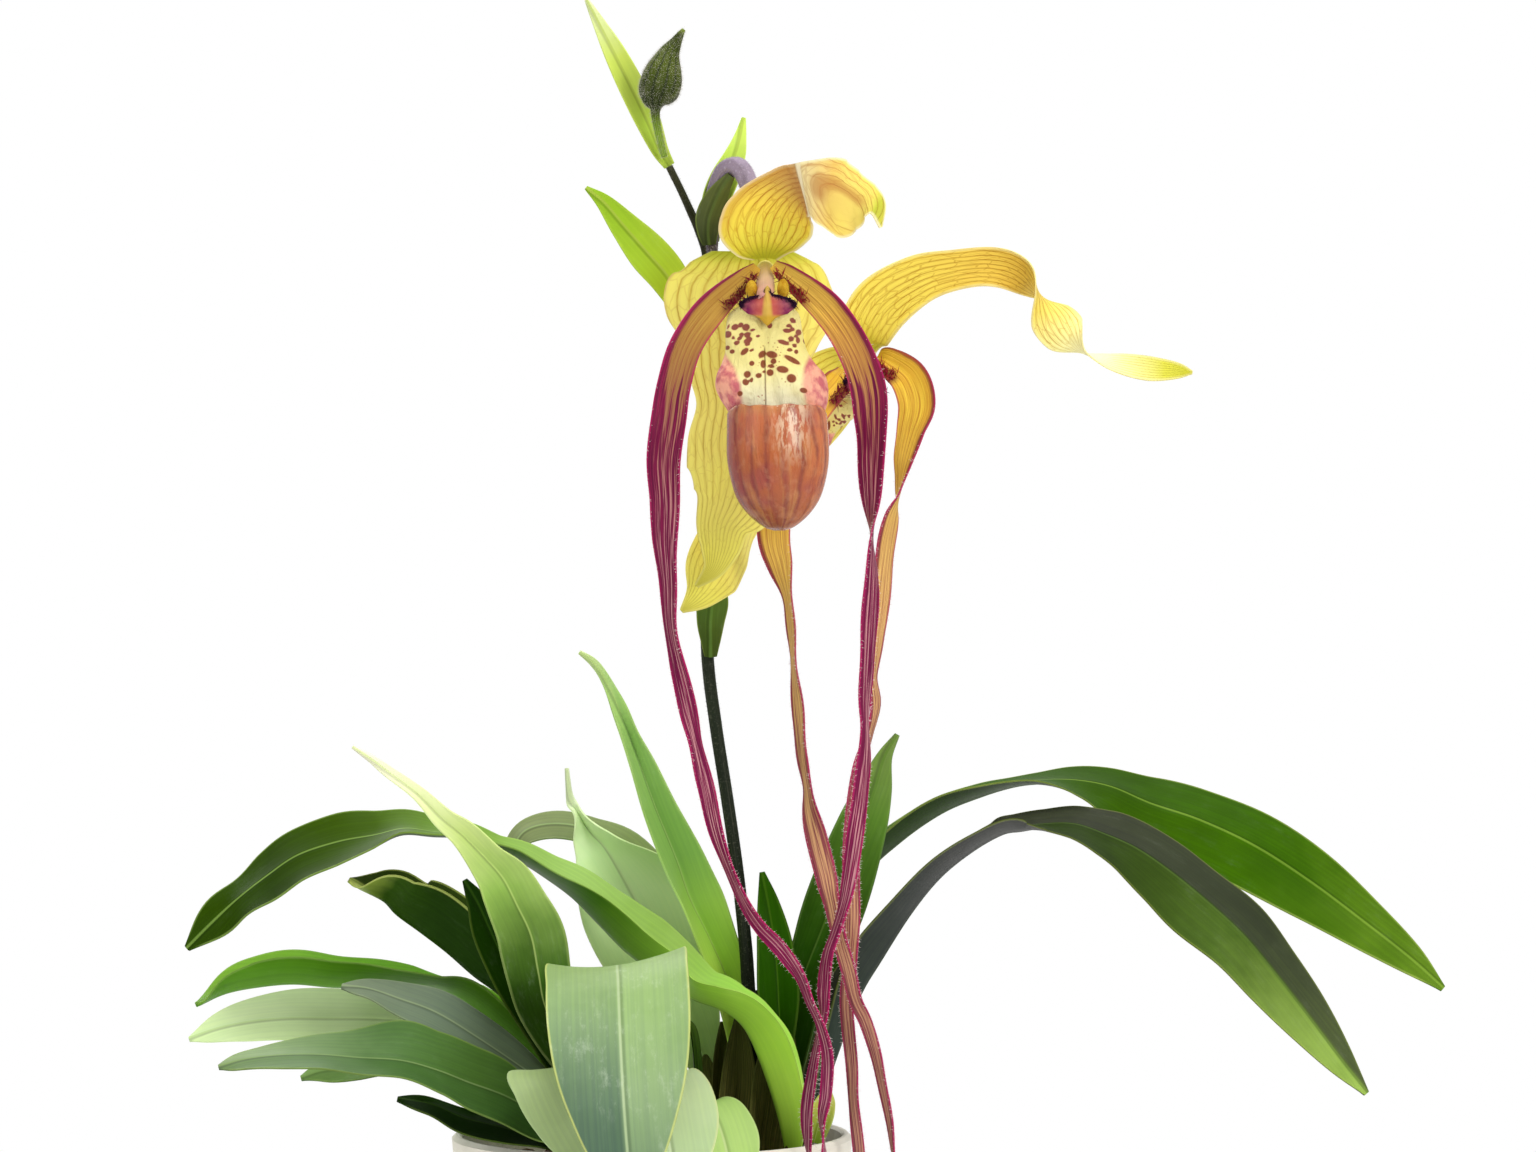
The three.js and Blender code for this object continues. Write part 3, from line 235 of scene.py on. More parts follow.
def sepal_finish(name, ground, vein, margin, count, net, brim, fold=None, bowl=0.0):
    """Sepal tissue: a yellow ground, a fan of fine veins joined by a faint net, and a cream margin.

    Count is the number of veins, and net and brim say how strongly the net and the margin show.
    Past a fold, given as a length along the blade, the veins run round the hollow of the hood,
    which lies at bowl.
    """
    paint = Paint(name, 0.45, 0.08)
    across, along, _ = paint.marks("blade")
    wide, far, half = paint.marks("span")
    wobble = paint.noise(paint.place(), 75.0, 3.0, 0.6) - 0.5
    bend = paint.noise(paint.place(), 26.0) - 0.5
    lanes = across * count * 0.5 + wobble * 0.6 + bend * 1.3
    cloud = paint.noise(paint.place(), 50.0, 3.0)
    fine = paint.noise(paint.place(), 700.0)
    crease, hollow = 0.0, 1.0
    if fold is not None:
        past = far - wide * 0.16 - fold
        beyond = paint.rise(past, -0.1, 0.1)
        high, forth = wide + 3.0, far - bowl
        length, breadth = forth * 0.8 - high * 0.6, forth * 0.6 + high * 0.8
        ripple = paint.noise(paint.place(), 170.0) - 0.5
        oval = paint.maths("SQRT", length * length * 0.5 + breadth * breadth * 1.5)
        ring = oval + ripple * 2.0
        lanes = lanes * (1.0 - beyond) + (ring * 0.42 + wobble * 0.7) * beyond
        hollow = 1.0 - beyond * paint.rise(ring, 3.0, 6.0, 1.0, 0.3)
        crescent = paint.rise(ring, 3.5, 5.5) * paint.rise(ring, 9.0, 7.0)
        crescent = crescent * paint.rise(high, -1.0, 3.0) * beyond
        crease = paint.rise(abs(past - 0.6), 0.3, 0.9, 1.0, 0.0)
    fork = paint.noise(paint.vector(lanes * 1.3, far * 0.05), 1.0)
    width = paint.rise(fork, 0.3, 0.7, 0.07, 0.14)
    middle = paint.from_line(lanes)
    patchy = paint.rise(paint.noise(paint.place(), 85.0), 0.35, 0.62, 0.45, 1.0)
    veins = paint.rise(middle, 0.02, width, 1.0, 0.0) * patchy * hollow
    cross = paint.cells(paint.vector(lanes * 1.5, far * 0.16 + wobble), 1.0, "DISTANCE_TO_EDGE")
    mesh = paint.rise(cross, 0.01, 0.06, net, 0.0) * paint.rise(half, 2.5, 6.0) * hollow
    tint = paint.ramp(along, vein)
    colour = paint.layers(
        paint.ramp(along + (cloud - 0.5) * 0.12, ground),
        (paint.rise(middle, 0.05, 0.4, 0.18, 0.0) * hollow, tint),
        (mesh * 0.8, tint),
        (veins * 0.75, tint),
        (paint.rise(along, 0.0, 0.09, 0.75, 0.0), "b4bc30"),
        (paint.rise(half - abs(wide), 0.1, 1.1, brim, 0.0), margin),
        (paint.rise(cloud, 0.5, 0.75) * 0.35, "fff4b0", "SOFT_LIGHT"),
    )
    if fold is not None:
        # Painted shade on the hood's body just before the fold.
        shade = paint.rise(past + bend * 12.0, -13.0, -2.0, 0.0, 0.45) * (1.0 - beyond)
        side_shade = paint.rise(half - wide, 5.0, 1.0, 0.0, 0.45) * paint.rise(along, 0.08, 0.2)
        colour = paint.layers(
            colour, (shade, "ac703c"), (side_shade * (1.0 - beyond), "c08838"),
            (crescent * 0.6, "b87438"), (crease * 0.85, "f6e8c0"))
    relief = veins * -0.6 - mesh * 0.4 + fine * 0.3 + crease * 2.5
    paint.feed(Base_Color=colour, Normal=paint.bump(relief, 0.55, 0.0005))
    return paint.material


def petal_finish(name, centre, edge, stripe, lanes_from, lanes_full, bare, outer):
    """Ribbon petal: a gold ground near the flower that gives way to dark lanes with pale lines.

    The dark lanes start at lanes_from along the petal and cover it from lanes_full on, but for a
    share that grows with bare. Outer is the side of the petal that lies away from the lip.
    """
    paint = Paint(name, 0.42, 0.08)
    across, along, _ = paint.marks("blade")
    wide, far, half = paint.marks("span")
    wobble = paint.noise(paint.place(), 70.0, 3.0) - 0.5
    streak = paint.noise(paint.vector(across * 5.5, far * 0.03), 1.0, 3.0, 0.6)
    thin = paint.noise(paint.vector(across * 15.0, far * 0.05), 1.0, 2.0, 0.6)
    fine = paint.noise(paint.place(), 900.0)
    streak_tint = paint.ramp(along, stripe)
    lines = paint.rise(paint.from_line(across * 3.5 + wobble * 0.9), 0.02, 0.17, 1.0, 0.0)
    lines = lines * paint.rise(streak, 0.35, 0.6, 0.15, 0.7)
    # Painted olive shade over the outer side of the petal near its base.
    painted_olive_shade = paint.rise(across * outer, -0.6, 0.8) * paint.rise(along, 0.02, 0.2, 0.3, 0.0)
    soft = paint.rise(streak, 0.4, 0.62, 0.0, 0.5) * paint.rise(along, 0.015, 0.06)
    start = paint.rise(along, lanes_from, lanes_full, 0.8, bare)
    lane = paint.rise(streak - start + (thin - 0.5) * 0.35, -0.05, 0.07)
    depth = paint.rise(along, 0.0, lanes_full, 0.84, 0.58)
    brim = paint.rise(across * outer + wobble * 0.3, depth - 0.1, depth + 0.08)
    inner = paint.rise(across * -outer + wobble * 0.3, depth + 0.12, depth + 0.24)
    inner = inner * paint.rise(along, lanes_from, lanes_full)
    dark = paint.maths("MAXIMUM", lane, paint.maths("MAXIMUM", brim, inner))
    wine = paint.blend(paint.rise(thin, 0.35, 0.62) * 0.6, paint.ramp(along, edge), "40042c")
    rim = paint.rise(half - abs(wide), 0.1, 0.55, 0.7, 0.0)
    stain = paint.rise(along, 0.012, 0.025) * paint.rise(along, 0.075, 0.055)
    stain = stain * paint.rise(across * -outer + wobble * 0.8, 0.3, 0.7)
    colour = paint.layers(
        paint.ramp(along, centre),
        (painted_olive_shade, "8c6828"),
        (paint.rise(thin, 0.42, 0.62) * 0.4, streak_tint),
        (soft, streak_tint),
        (lines, streak_tint),
        (dark * 0.95, wine),
        (rim * paint.rise(along, 0.02, 0.1), "b82060"),
        (stain * 0.75, "6c1030"),
    )
    relief = lines * -0.4 + streak * 0.9 + thin * 0.5 + fine * 0.25
    paint.feed(Base_Color=colour, Normal=paint.bump(relief, 0.6, 0.0005))
    return paint.material


def pouch_finish():
    """The lip: spotted cream lobes, rosy cheeks, and a glossy terracotta pouch with dark veins."""
    paint = Paint("lip_finish", 0.3, 0.12)
    x, y, z = paint.marks("own_place")
    spot, pink, skin = paint.marks("lip_marks")
    cloud = paint.noise(paint.place(), 80.0, 3.0) - 0.5
    veil = paint.noise(paint.place(), 300.0, 3.0)
    crumple = paint.noise(paint.vector(x * 0.9, z * 0.22, y * 0.9), 1.0, 4.0, 0.65)
    turn = paint.maths("ARCTAN2", x - 4.1, y * -1.0)
    streak = paint.noise(paint.vector(turn * 5.0, z * 0.045), 1.0, 4.0, 0.65)
    middle = paint.from_line(turn * 2.9 + cloud * 1.3 + z * 0.02)
    veins = paint.rise(middle, 0.02, 0.34, 1.0, 0.0) * paint.rise(streak, 0.35, 0.62, 0.15, 1.0)
    height = (z + 64.0) / 38.0
    # Painted highlight: pale crumpled flecks on the upper right of the pouch.
    painted_highlight = paint.rise(crumple, 0.45, 0.58) * paint.rise(abs(x - 8.0), 7.5, 1.5)
    painted_highlight = painted_highlight * paint.rise(z, -49.0, -34.0)
    pouch = paint.layers(
        # The pouch's terracotta, with painted shade towards the toe and a painted highlight towards
        # the rim.
        paint.ramp(height, stops_at("0 90482c, 0.3 ac5830, 0.6 bc6434, 0.85 c86c40, 1 d09454")),
        (paint.rise(streak, 0.48, 0.68) * 0.55, "c48a4c"),
        # Painted shade down the left side of the pouch and painted light on its right side.
        (paint.rise(turn * -1.0, 0.35, 1.5) * 0.55, "86303c"),
        (paint.rise(turn, 0.3, 1.2) * 0.4, "f09464"),
        (paint.rise(cloud, 0.0, 0.18) * 0.5, "943440"),
        (veins * 0.68, "741828"),
        (painted_highlight * 0.62, "fce4c0"),
        (paint.rise(veil, 0.5, 0.68) * 0.25, "cc8c60"),
    )
    freckle = paint.rise(paint.cells(paint.place(), 900.0), 0.15, 0.3, 1.0, 0.0)
    patch = paint.rise(paint.noise(paint.place(), 110.0, 1.0), 0.5, 0.6)
    # Painted shade along the groove down the front of the lobes.
    groove = paint.rise(abs(x + z * 0.02), 0.05, 0.4, 0.75, 0.0)
    groove = groove * paint.rise(y, -2.0, 1.0, 1.0, 0.0) * paint.rise(z, -10.0, -12.0)
    rosy = paint.blend(paint.rise(veil, 0.36, 0.62), "fcac94", "cc4c68")
    crimson = paint.blend(paint.rise(z, -14.0, -8.0), "5c0814", "681038")
    cream = paint.layers(
        # Painted light: the cream turns near-white low on the lobes, where they face down.
        paint.blend(paint.rise(z, -32.0, -14.0), "fffad8", "f4e694"),
        (paint.rise(cloud, -0.02, 0.2) * 0.4, "e8d060"),
        (freckle * patch * 0.7, "b06c2c"),
        (pink * 0.9, rosy),
        (paint.rise(spot, 0.3, 0.46) * 0.97, crimson),
        (paint.rise(spot, 0.12, 0.4) * 0.35, "c07040"),
        (groove, "6c4418"),
    )
    relief = veins * -0.3 + veil * 0.4 + crumple * 3.4 + streak * 0.4
    paint.feed(Base_Color=paint.blend(skin, pouch, cream), Normal=paint.bump(relief, 0.6, 0.0008),
               Roughness=paint.rise(skin, 0.2, 0.8, 0.24, 0.36),
               Coat_Weight=paint.rise(skin, 0.2, 0.8, 0.5, 0.05), Coat_Roughness=0.16)
    return paint.material


def stem_finish(name, shades, speck, amount=0.3):
    """Downy stem skin: a dull ground with fine specks and long faint ribs."""
    paint = Paint(name, 0.55)
    turn, along, _ = paint.marks("blade")
    _, far, _ = paint.marks("span")
    cloud = paint.noise(paint.place(), 120.0, 3.0)
    grain = paint.noise(paint.place(), 1300.0)
    streak = paint.noise(paint.vector(turn * 14.0, far * 0.03), 1.0)
    colour = paint.layers(
        paint.ramp(along, shades),
        (paint.rise(streak, 0.5, 0.7) * 0.25, speck),
        (paint.rise(grain, 0.58, 0.68) * amount, speck),
        (paint.rise(cloud, 0.45, 0.75) * 0.35, "0c0a0c"),
    )
    paint.feed(Base_Color=colour, Normal=paint.bump(grain + streak, 0.45, 0.0003))
    return paint.material


def plain_finish(name, dark, light, scale, roughness=0.6):
    """A material of two near shades that drift over the piece, with a fine grain."""
    paint = Paint(name, roughness)
    cloud = paint.noise(paint.place(), scale, 4.0, 0.6)
    grain = paint.noise(paint.place(), scale * 12.0)
    colour = paint.blend(paint.rise(cloud, 0.3, 0.7), dark, light)
    rough = roughness + (grain - 0.5) * 0.15
    relief = paint.bump(cloud * 0.5 + grain, 0.4, 0.0003)
    paint.feed(Base_Color=colour, Roughness=rough, Normal=relief)
    return paint.material


def bud_finish():
    """The bud's dark green skin, pale at its foot and its tip, with darker veins."""
    paint = Paint("bud_finish", 0.6)
    turn, along, _ = paint.marks("blade")
    cloud = paint.noise(paint.place(), 200.0, 3.0)
    middle = paint.from_line(turn * 6.0 + (cloud - 0.5) * 0.6)
    veins = paint.rise(middle, 0.04, 0.22, 1.0, 0.0)
    shades = stops("88a83c 88a83c 4c5c20 303a12 303a10 404c12 505c18 404c12 303a0c 8c9c40")
    vein = paint.ramp(along, stops("2c2814 1c2014 1c2814 3c4020"))
    colour = paint.layers(paint.ramp(along, shades), (veins * 0.7, vein),
                          (paint.rise(cloud, 0.5, 0.8) * 0.3, "98a068"))
    paint.feed(Base_Color=colour, Normal=paint.bump(veins * -0.6 + cloud, 0.5, 0.0004))
    return paint.material


def shield_finish():
    """The column's shield: dark wings, a brown-black upper rim and a gold ridge and tip."""
    paint = Paint("shield_finish", 0.35)
    x, _, z = paint.marks("own_place")
    reach, _, _ = paint.marks("rim_share")
    cloud = paint.noise(paint.place(), 300.0, 3.0)
    upper = paint.rise(z + abs(x) * 0.25, -1.4, 0.4)
    ridge = paint.rise(abs(x) + (z + 3.0) * 0.1, 0.7, 1.9, 1.0, 0.0)
    colour = paint.layers(
        paint.blend(paint.rise(abs(x), 1.5, 6.0), "b85448", "741c4c"),
        (paint.rise(cloud, 0.4, 0.7) * 0.35, "d88070"),
        (paint.rise(reach, 0.66, 0.92) * upper, "2c0828"),
        (ridge, "d0a84c"),
        (paint.rise(z, -3.8, -5.2), "c49a30"),
    )
    paint.feed(Base_Color=colour, Normal=paint.bump(cloud, 0.4, 0.0003))
    return paint.material


def husk_finish():
    """Dry streaked leaf bases, greener at the top and stained red-brown in places."""
    paint = Paint("husk_finish", 0.7)
    turn, along, _ = paint.marks("blade")
    cloud = paint.noise(paint.place(), 90.0, 4.0, 0.65)
    streak = paint.noise(paint.vector(turn * 16.0, along * 1.4), 1.0, 4.0, 0.7)
    colour = paint.layers(
        paint.ramp(streak, stops_at("0.25 383c18, 0.5 60602c, 0.7 948848, 0.9 c0b078")),
        (paint.rise(along, 0.55, 1.0) * 0.4, "24340c"),
        (paint.rise(cloud, 0.6, 0.8) * 0.4, "4c2028"),
    )
    paint.feed(Base_Color=colour, Normal=paint.bump(streak + cloud * 0.4, 0.7, 0.0008))
    return paint.material


def bark_finish():
    """Mottled brown bark with a dark grain."""
    paint = Paint("bark_finish", 0.85)
    cloud = paint.noise(paint.place(), 130.0, 4.0, 0.65)
    grain = paint.noise(paint.place(), 900.0, 3.0)
    colour = paint.ramp(cloud, stops_at("0.2 1c120a, 0.45 3c2614, 0.65 5c3c22, 0.85 866044"))
    colour = paint.blend(paint.rise(grain, 0.5, 0.7) * 0.4, colour, "140c06")
    paint.feed(Base_Color=colour, Normal=paint.bump(cloud + grain * 0.4, 0.7, 0.0008))
    return paint.material


def pot_finish():
    """Pale matt ceramic with a few grey specks."""
    roughness = 0.5
    paint = Paint("pot_finish", roughness)
    cloud = paint.noise(paint.place(), 18.0, 4.0, 0.6)
    grain = paint.noise(paint.place(), 1200.0)
    colour = paint.blend(paint.rise(cloud, 0.3, 0.75), "dcd6c6", "ebe6da")
    specks = paint.rise(paint.noise(paint.place(), 500.0, 1.0), 0.7, 0.76)
    colour = paint.blend(specks * 0.25, colour, "a8a08c")
    rough = roughness + (cloud - 0.5) * 0.2
    paint.feed(Base_Color=colour, Roughness=rough, Normal=paint.bump(grain + cloud, 0.25, 0.0003))
    return paint.material


# ---------------------------------------------------------------- forms

NARROWEST_BLADE = 0.7
THINNEST_ROD = 0.15


def smooth(rows, count):
    """Places and directions along a smooth line that runs through every row."""
    rows = np.array(rows, float)
    padded = np.vstack([2 * rows[0] - rows[1], rows, 2 * rows[-1] - rows[-2]])
    t = np.linspace(0, len(rows) - 1, count)
    k = np.minimum(t.astype(int), len(rows) - 2)
    w = (t - k)[:, None]
    a, b, c, d = (padded[k + i] for i in range(4))
    start, end = 0.5 * (c - a), 0.5 * (d - b)
    square = 3 * c - 3 * b - 2 * start - end
    cube = 2 * b - 2 * c + start + end
    value = b + start * w + square * w**2 + cube * w**3
    slope = start + 2 * square * w + 3 * cube * w**2
    return value, slope


def unit(vectors):
    return vectors / np.maximum(np.linalg.norm(vectors, axis=-1, keepdims=True), 1e-9)


def turned(vectors, axes, degrees):
    """Each vector turned about its own axis, to which it is square."""
    angles = np.radians(degrees)[:, None]
    return vectors * np.cos(angles) + np.cross(axes, vectors) * np.sin(angles)


def length_along(path):
    """How far each point of a path lies from its start."""
    steps = np.linalg.norm(np.diff(path, axis=0), axis=1)
    return np.concatenate([[0], np.cumsum(steps)])


def around(sides):
    """The angles of a ring's points."""
    return np.linspace(0, FULL_TURN, sides, endpoint=False)


def piece_of(name, points, faces, material, marks=None):
    """A mesh object from points in millimetres; marks are values that its material reads."""
    mesh = bpy.data.meshes.new(name)
    mesh.from_pydata((np.asarray(points) * MM).tolist(), [], faces)
    for key, values in (marks or {}).items():
        layer = mesh.attributes.new(key, "FLOAT_VECTOR", "POINT")
        layer.data.foreach_set("vector", np.asarray(values, float).ravel())
    mesh.shade_smooth()
    mesh.materials.append(material)
    mesh.update()
    return shown(name, mesh)


def shown(name, data):
    """A new object in the scene that carries a mesh, a lamp or a camera."""
    thing = bpy.data.objects.new(name, data)
    bpy.context.scene.collection.objects.link(thing)
    return thing


def read_marks(thing, key):
    values = np.zeros(len(thing.data.vertices) * 3)
    thing.data.attributes[key].data.foreach_get("vector", values)
    return values.reshape(-1, 3)


def grid_faces(rows, columns, start=0, flip=False, wrap=False):
    faces = []
    last = columns if wrap else columns - 1
    for i in range(rows - 1):
        for j in range(last):
            k = (j + 1) % columns
            a, b = start + i * columns + j, start + i * columns + k
            face = (a, b, b + columns, a + columns)
            faces.append(face[::-1] if flip else face)
    return faces


def ribbon_faces(rows, columns):
    """The faces of two grids that lie back to back, joined all round their margin."""
    size = rows * columns
    faces = grid_faces(rows, columns, flip=True) + grid_faces(rows, columns, size)
    for i in range(rows - 1):
        for j, turn_over in ((0, True), (columns - 1, False)):
            a, b = i * columns + j, (i + 1) * columns + j
            face = (a, b, b + size, a + size)
            faces.append(face[::-1] if turn_over else face)
    end = (rows - 1) * columns
    for j in range(columns - 1):
        k = end + j
        faces.append((j + 1, j + 1 + size, j + size, j))
        faces.append((k + size, k + 1 + size, k + 1, k))
    return faces


def keel_directions(value, slope, heading):
    """The directions across a blade and up from it at each place along its keel."""
    along = unit(slope[:, :3])
    if heading is None:
        across = unit(np.cross(FRONT, along))
    else:
        angle = math.radians(heading)
        flat = np.array([-math.sin(angle), math.cos(angle), 0.0])
        across = unit(flat - along * (along @ flat)[:, None])
    across = turned(across, along, value[:, 4])
    up = np.cross(along, across)
    return turned(across, up, value[:, 6])[:, None, :], up[:, None, :]


def blade(name, rows, thick, material, columns=14, per_row=8, heading=None, power=1.0,
          bow=0.0, wave=0.0, waves=5.0, rib=0.0, soft=0.05, edge=0.45):
    """A leaf, bract, sepal or petal as one closed ribbon with two faces and a thin margin.

    A row is a keel point, the width there, the turn about the keel, the fold of both halves and,
    where it isn't square to the keel, its slant. A blade that arches towards the front has its
    heading. Power or soft gives the form of the fold, bow arches each half, wave and waves ripple
    the margins, rib thickens the keel underneath, and edge is the margin's share of the thickness.
    """
    rows = [list(row) + [0] * (7 - len(row)) for row in rows]
    count = (len(rows) - 1) * per_row + 1
    value, slope = smooth(rows, count)
    keel = value[:, :3]
    across, up = keel_directions(value, slope, heading)
    half = np.maximum(value[:, 3], NARROWEST_BLADE)[:, None] / 2
    fold = np.radians(value[:, 5])[:, None]
    far = length_along(keel)[:, None]
    t = np.linspace(0, 1, count)[:, None]
    even = np.linspace(-1, 1, columns + 1)[None, :]
    s = 0.55 * np.sin(even * math.pi / 2) + 0.45 * even
    if power == 1.0:
        lift = (np.sqrt(s**2 + soft**2) - soft) / (math.sqrt(1 + soft**2) - soft)
    else:
        lift = np.abs(s) ** power
    ripple = wave * np.sin(far / far[-1] * waves * FULL_TURN + s * 1.3) * s**2
    ripple = ripple * np.sin(np.pi * t) ** 0.5 * np.clip(half / 5, 0, 1)
    rise = lift * half * np.sin(fold) + bow * half * 4 * np.abs(s) * (1 - np.abs(s)) + ripple
    sway = s * half * np.cos(fold)
    centre = keel[:, None, :] + across * sway[..., None] + up * rise[..., None]
    d_rise, d_sway = np.gradient(rise, axis=1), np.gradient(sway, axis=1)
    normal = unit(up * d_sway[..., None] - across * d_rise[..., None])
    body = thick / 2 * (edge + (1 - edge) * (1 - np.abs(s) ** 2.5))
    body = np.minimum(body, half * 0.8)
    keel_rib = rib * np.exp(-((s * half / 1.1) ** 2))
    top = centre + normal * body[..., None]
    low = centre - normal * (body + keel_rib)[..., None]
    points = np.concatenate([top.reshape(-1, 3), low.reshape(-1, 3)])
    share = np.stack(np.broadcast_arrays(s * np.ones_like(t), t, 1.0), -1).reshape(-1, 3)
    span = np.stack(np.broadcast_arrays(s * half, far, half), -1).reshape(-1, 3)
    marks = {"blade": np.concatenate([share, share * [1, 1, -1]]),
             "span": np.concatenate([span, span])}
    thing = piece_of(name, points, ribbon_faces(count, columns + 1), material, marks)
    sharpen_margin(thing.data, len(share))
    return thing


def sharpen_margin(mesh, size):
    """Keeps the line between each face and the margin crisp."""
    ends = np.zeros(len(mesh.edges) * 2, int)
    mesh.edges.foreach_get("vertices", ends)
    ends = ends.reshape(-1, 2)
    same = (ends[:, 0] < size) == (ends[:, 1] < size)
    on_rim = np.zeros(len(mesh.vertices), bool)
    on_rim[ends[~same].ravel()] = True
    layer = mesh.attributes.new("sharp_edge", "BOOLEAN", "EDGE")
    layer.data.foreach_set("value", same & on_rim[ends[:, 0]] & on_rim[ends[:, 1]])


def ring_points(rings):
    """The points of a stack of rings, then the middles of its two ends."""
    return np.concatenate(rings + [[rings[0].mean(0), rings[-1].mean(0)]])


def rings_mesh(name, rings, material, marks=None, closed=True):
    """A skin over a stack of rings of equal counts; a closed one has a fan over each end."""
    count, sides = len(rings), len(rings[0])
    points = ring_points(rings) if closed else np.concatenate(rings)
    faces = grid_faces(count, sides, wrap=True)
    if closed:
        foot, head, top = count * sides, count * sides + 1, (count - 1) * sides
        for j in range(sides):
            k = (j + 1) % sides
            faces += [(foot, k, j), (head, top + j, top + k)]
    return piece_of(name, points, faces, material, marks)


def rod(name, rows, material, sides, per_row, ribs=0, rib_depth=0.0):
    """A stem, stalk or sheath: a closed round rod along a smooth line of [x, y, z, radius]."""
    count = (len(rows) - 1) * per_row + 1
    value, slope = smooth(rows, count)
    along, far = unit(slope[:, :3]), length_along(value[:, :3])
    angle, ones = around(sides), np.ones(sides)
    bulge = 1 + rib_depth * np.cos(angle * ribs)
    side = np.array([1.0, 0.0, 0.0])
    rings, shares, spans = [], [], []
    for i in range(count):
        side = side - along[i] * (side @ along[i])
        side = side / np.linalg.norm(side)
        other = np.cross(along[i], side)
        radius = max(value[i, 3], THINNEST_ROD)
        ring = np.outer(np.cos(angle) * bulge, side) + np.outer(np.sin(angle) * bulge, other)
        rings.append(value[i, :3] + ring * radius)
        shares.append(np.stack([angle / math.pi - 1, ones * i / (count - 1), ones], 1))
        spans.append(np.stack([angle * radius, ones * far[i], ones * radius], 1))
    marks = {"blade": np.concatenate(shares + [[[0, 0, 1], [0, 1, 1]]]),
             "span": np.concatenate(spans + [np.zeros((2, 3))])}
    return rings_mesh(name, rings, material, marks)


def joined(name, parts):
    """Several pieces made into one."""
    with bpy.context.temp_override(active_object=parts[0], selected_editable_objects=parts):
        bpy.ops.object.join()
    parts[0].name = parts[0].data.name = name
    return parts[0]


# ---------------------------------------------------------------- repeated small things

HAIR_MASK = "hairy"
PER_SQUARE_MM = 1e6

class Recipe:
    """A tree of geometry nodes with named inputs, which ends as a mesh with its material."""

    def __init__(self, name, sizes):
        self.tree = bpy.data.node_groups.new(name, "GeometryNodeTree")
        inputs = {"Geometry": "NodeSocketGeometry", **dict.fromkeys(sizes, "NodeSocketFloat"),
                  "Seed": "NodeSocketInt"}
        face = self.tree.interface
        for label, kind in inputs.items():
            face.new_socket(label, in_out="INPUT", socket_type=kind)
        face.new_socket("Geometry", in_out="OUTPUT", socket_type="NodeSocketGeometry")
        self.given = self.tree.nodes.new("NodeGroupInput").outputs

    def add(self, kind, settings=None, sockets=None, out=0):
        """A new node with its settings and what its sockets are given; one of its outputs."""
        node = self.tree.nodes.new(kind)
        for key, value in (settings or {}).items():
            setattr(node, key, value)
        for key, value in (sockets or {}).items():
            if isinstance(value, bpy.types.NodeSocket):
                self.tree.links.new(value, node.inputs[key])
            else:
                node.inputs[key].default_value = value
        return node.outputs[out]

    def end(self, geometry, material):
        """Gives the geometry its material and hands the tree over."""
        sockets = {"Geometry": geometry, "Material": material}
        painted = self.add("GeometryNodeSetMaterial", None, sockets)
        self.tree.links.new(painted, self.tree.nodes.new("NodeGroupOutput").inputs["Geometry"])
        return self.tree


def bristle_tree(name, material):
    """Fine tapering hairs that stand on a surface, more where its mask is high."""
    recipe = Recipe(name, ["Density", "Length", "Thickness", "Lean"])
    given, add = recipe.given, recipe.add
    seed = {"Seed": given["Seed"]}
    mask = add("GeometryNodeInputNamedAttribute", {"data_type": "FLOAT"}, {"Name": HAIR_MASK},
               "Attribute")
    share = add("ShaderNodeMath", {"operation": "MULTIPLY"}, {0: given["Density"], 1: mask})
    points = add("GeometryNodeDistributePointsOnFaces", None,
                 {"Mesh": given["Geometry"], "Density": share, **seed}, "Points")
    hair = add("GeometryNodeMeshCone", {"fill_type": "NONE"},
               {"Vertices": 3, "Radius Top": 0.0, "Radius Bottom": given["Thickness"],
                "Depth": given["Length"]}, "Mesh")
    wild = add("FunctionNodeRandomValue", {"data_type": "FLOAT_VECTOR"},
               {0: (-1, -1, -1), 1: (1, 1, 1), **seed})
    stray = add("ShaderNodeVectorMath", {"operation": "SCALE"}, {0: wild, "Scale": given["Lean"]})
    aim = add("ShaderNodeVectorMath", {"operation": "ADD"},
              {0: points.node.outputs["Normal"], 1: stray})
    turn = add("FunctionNodeAlignRotationToVector", {"axis": "Z"}, {"Vector": aim})
    size = add("FunctionNodeRandomValue", {"data_type": "FLOAT"}, {2: 0.55, 3: 1.1, **seed}, 1)
    stand = add("GeometryNodeInstanceOnPoints", None,
                {"Points": points, "Instance": hair, "Rotation": turn, "Scale": size})
    real = add("GeometryNodeRealizeInstances", None, {"Geometry": stand})
    return recipe.end(real, material)


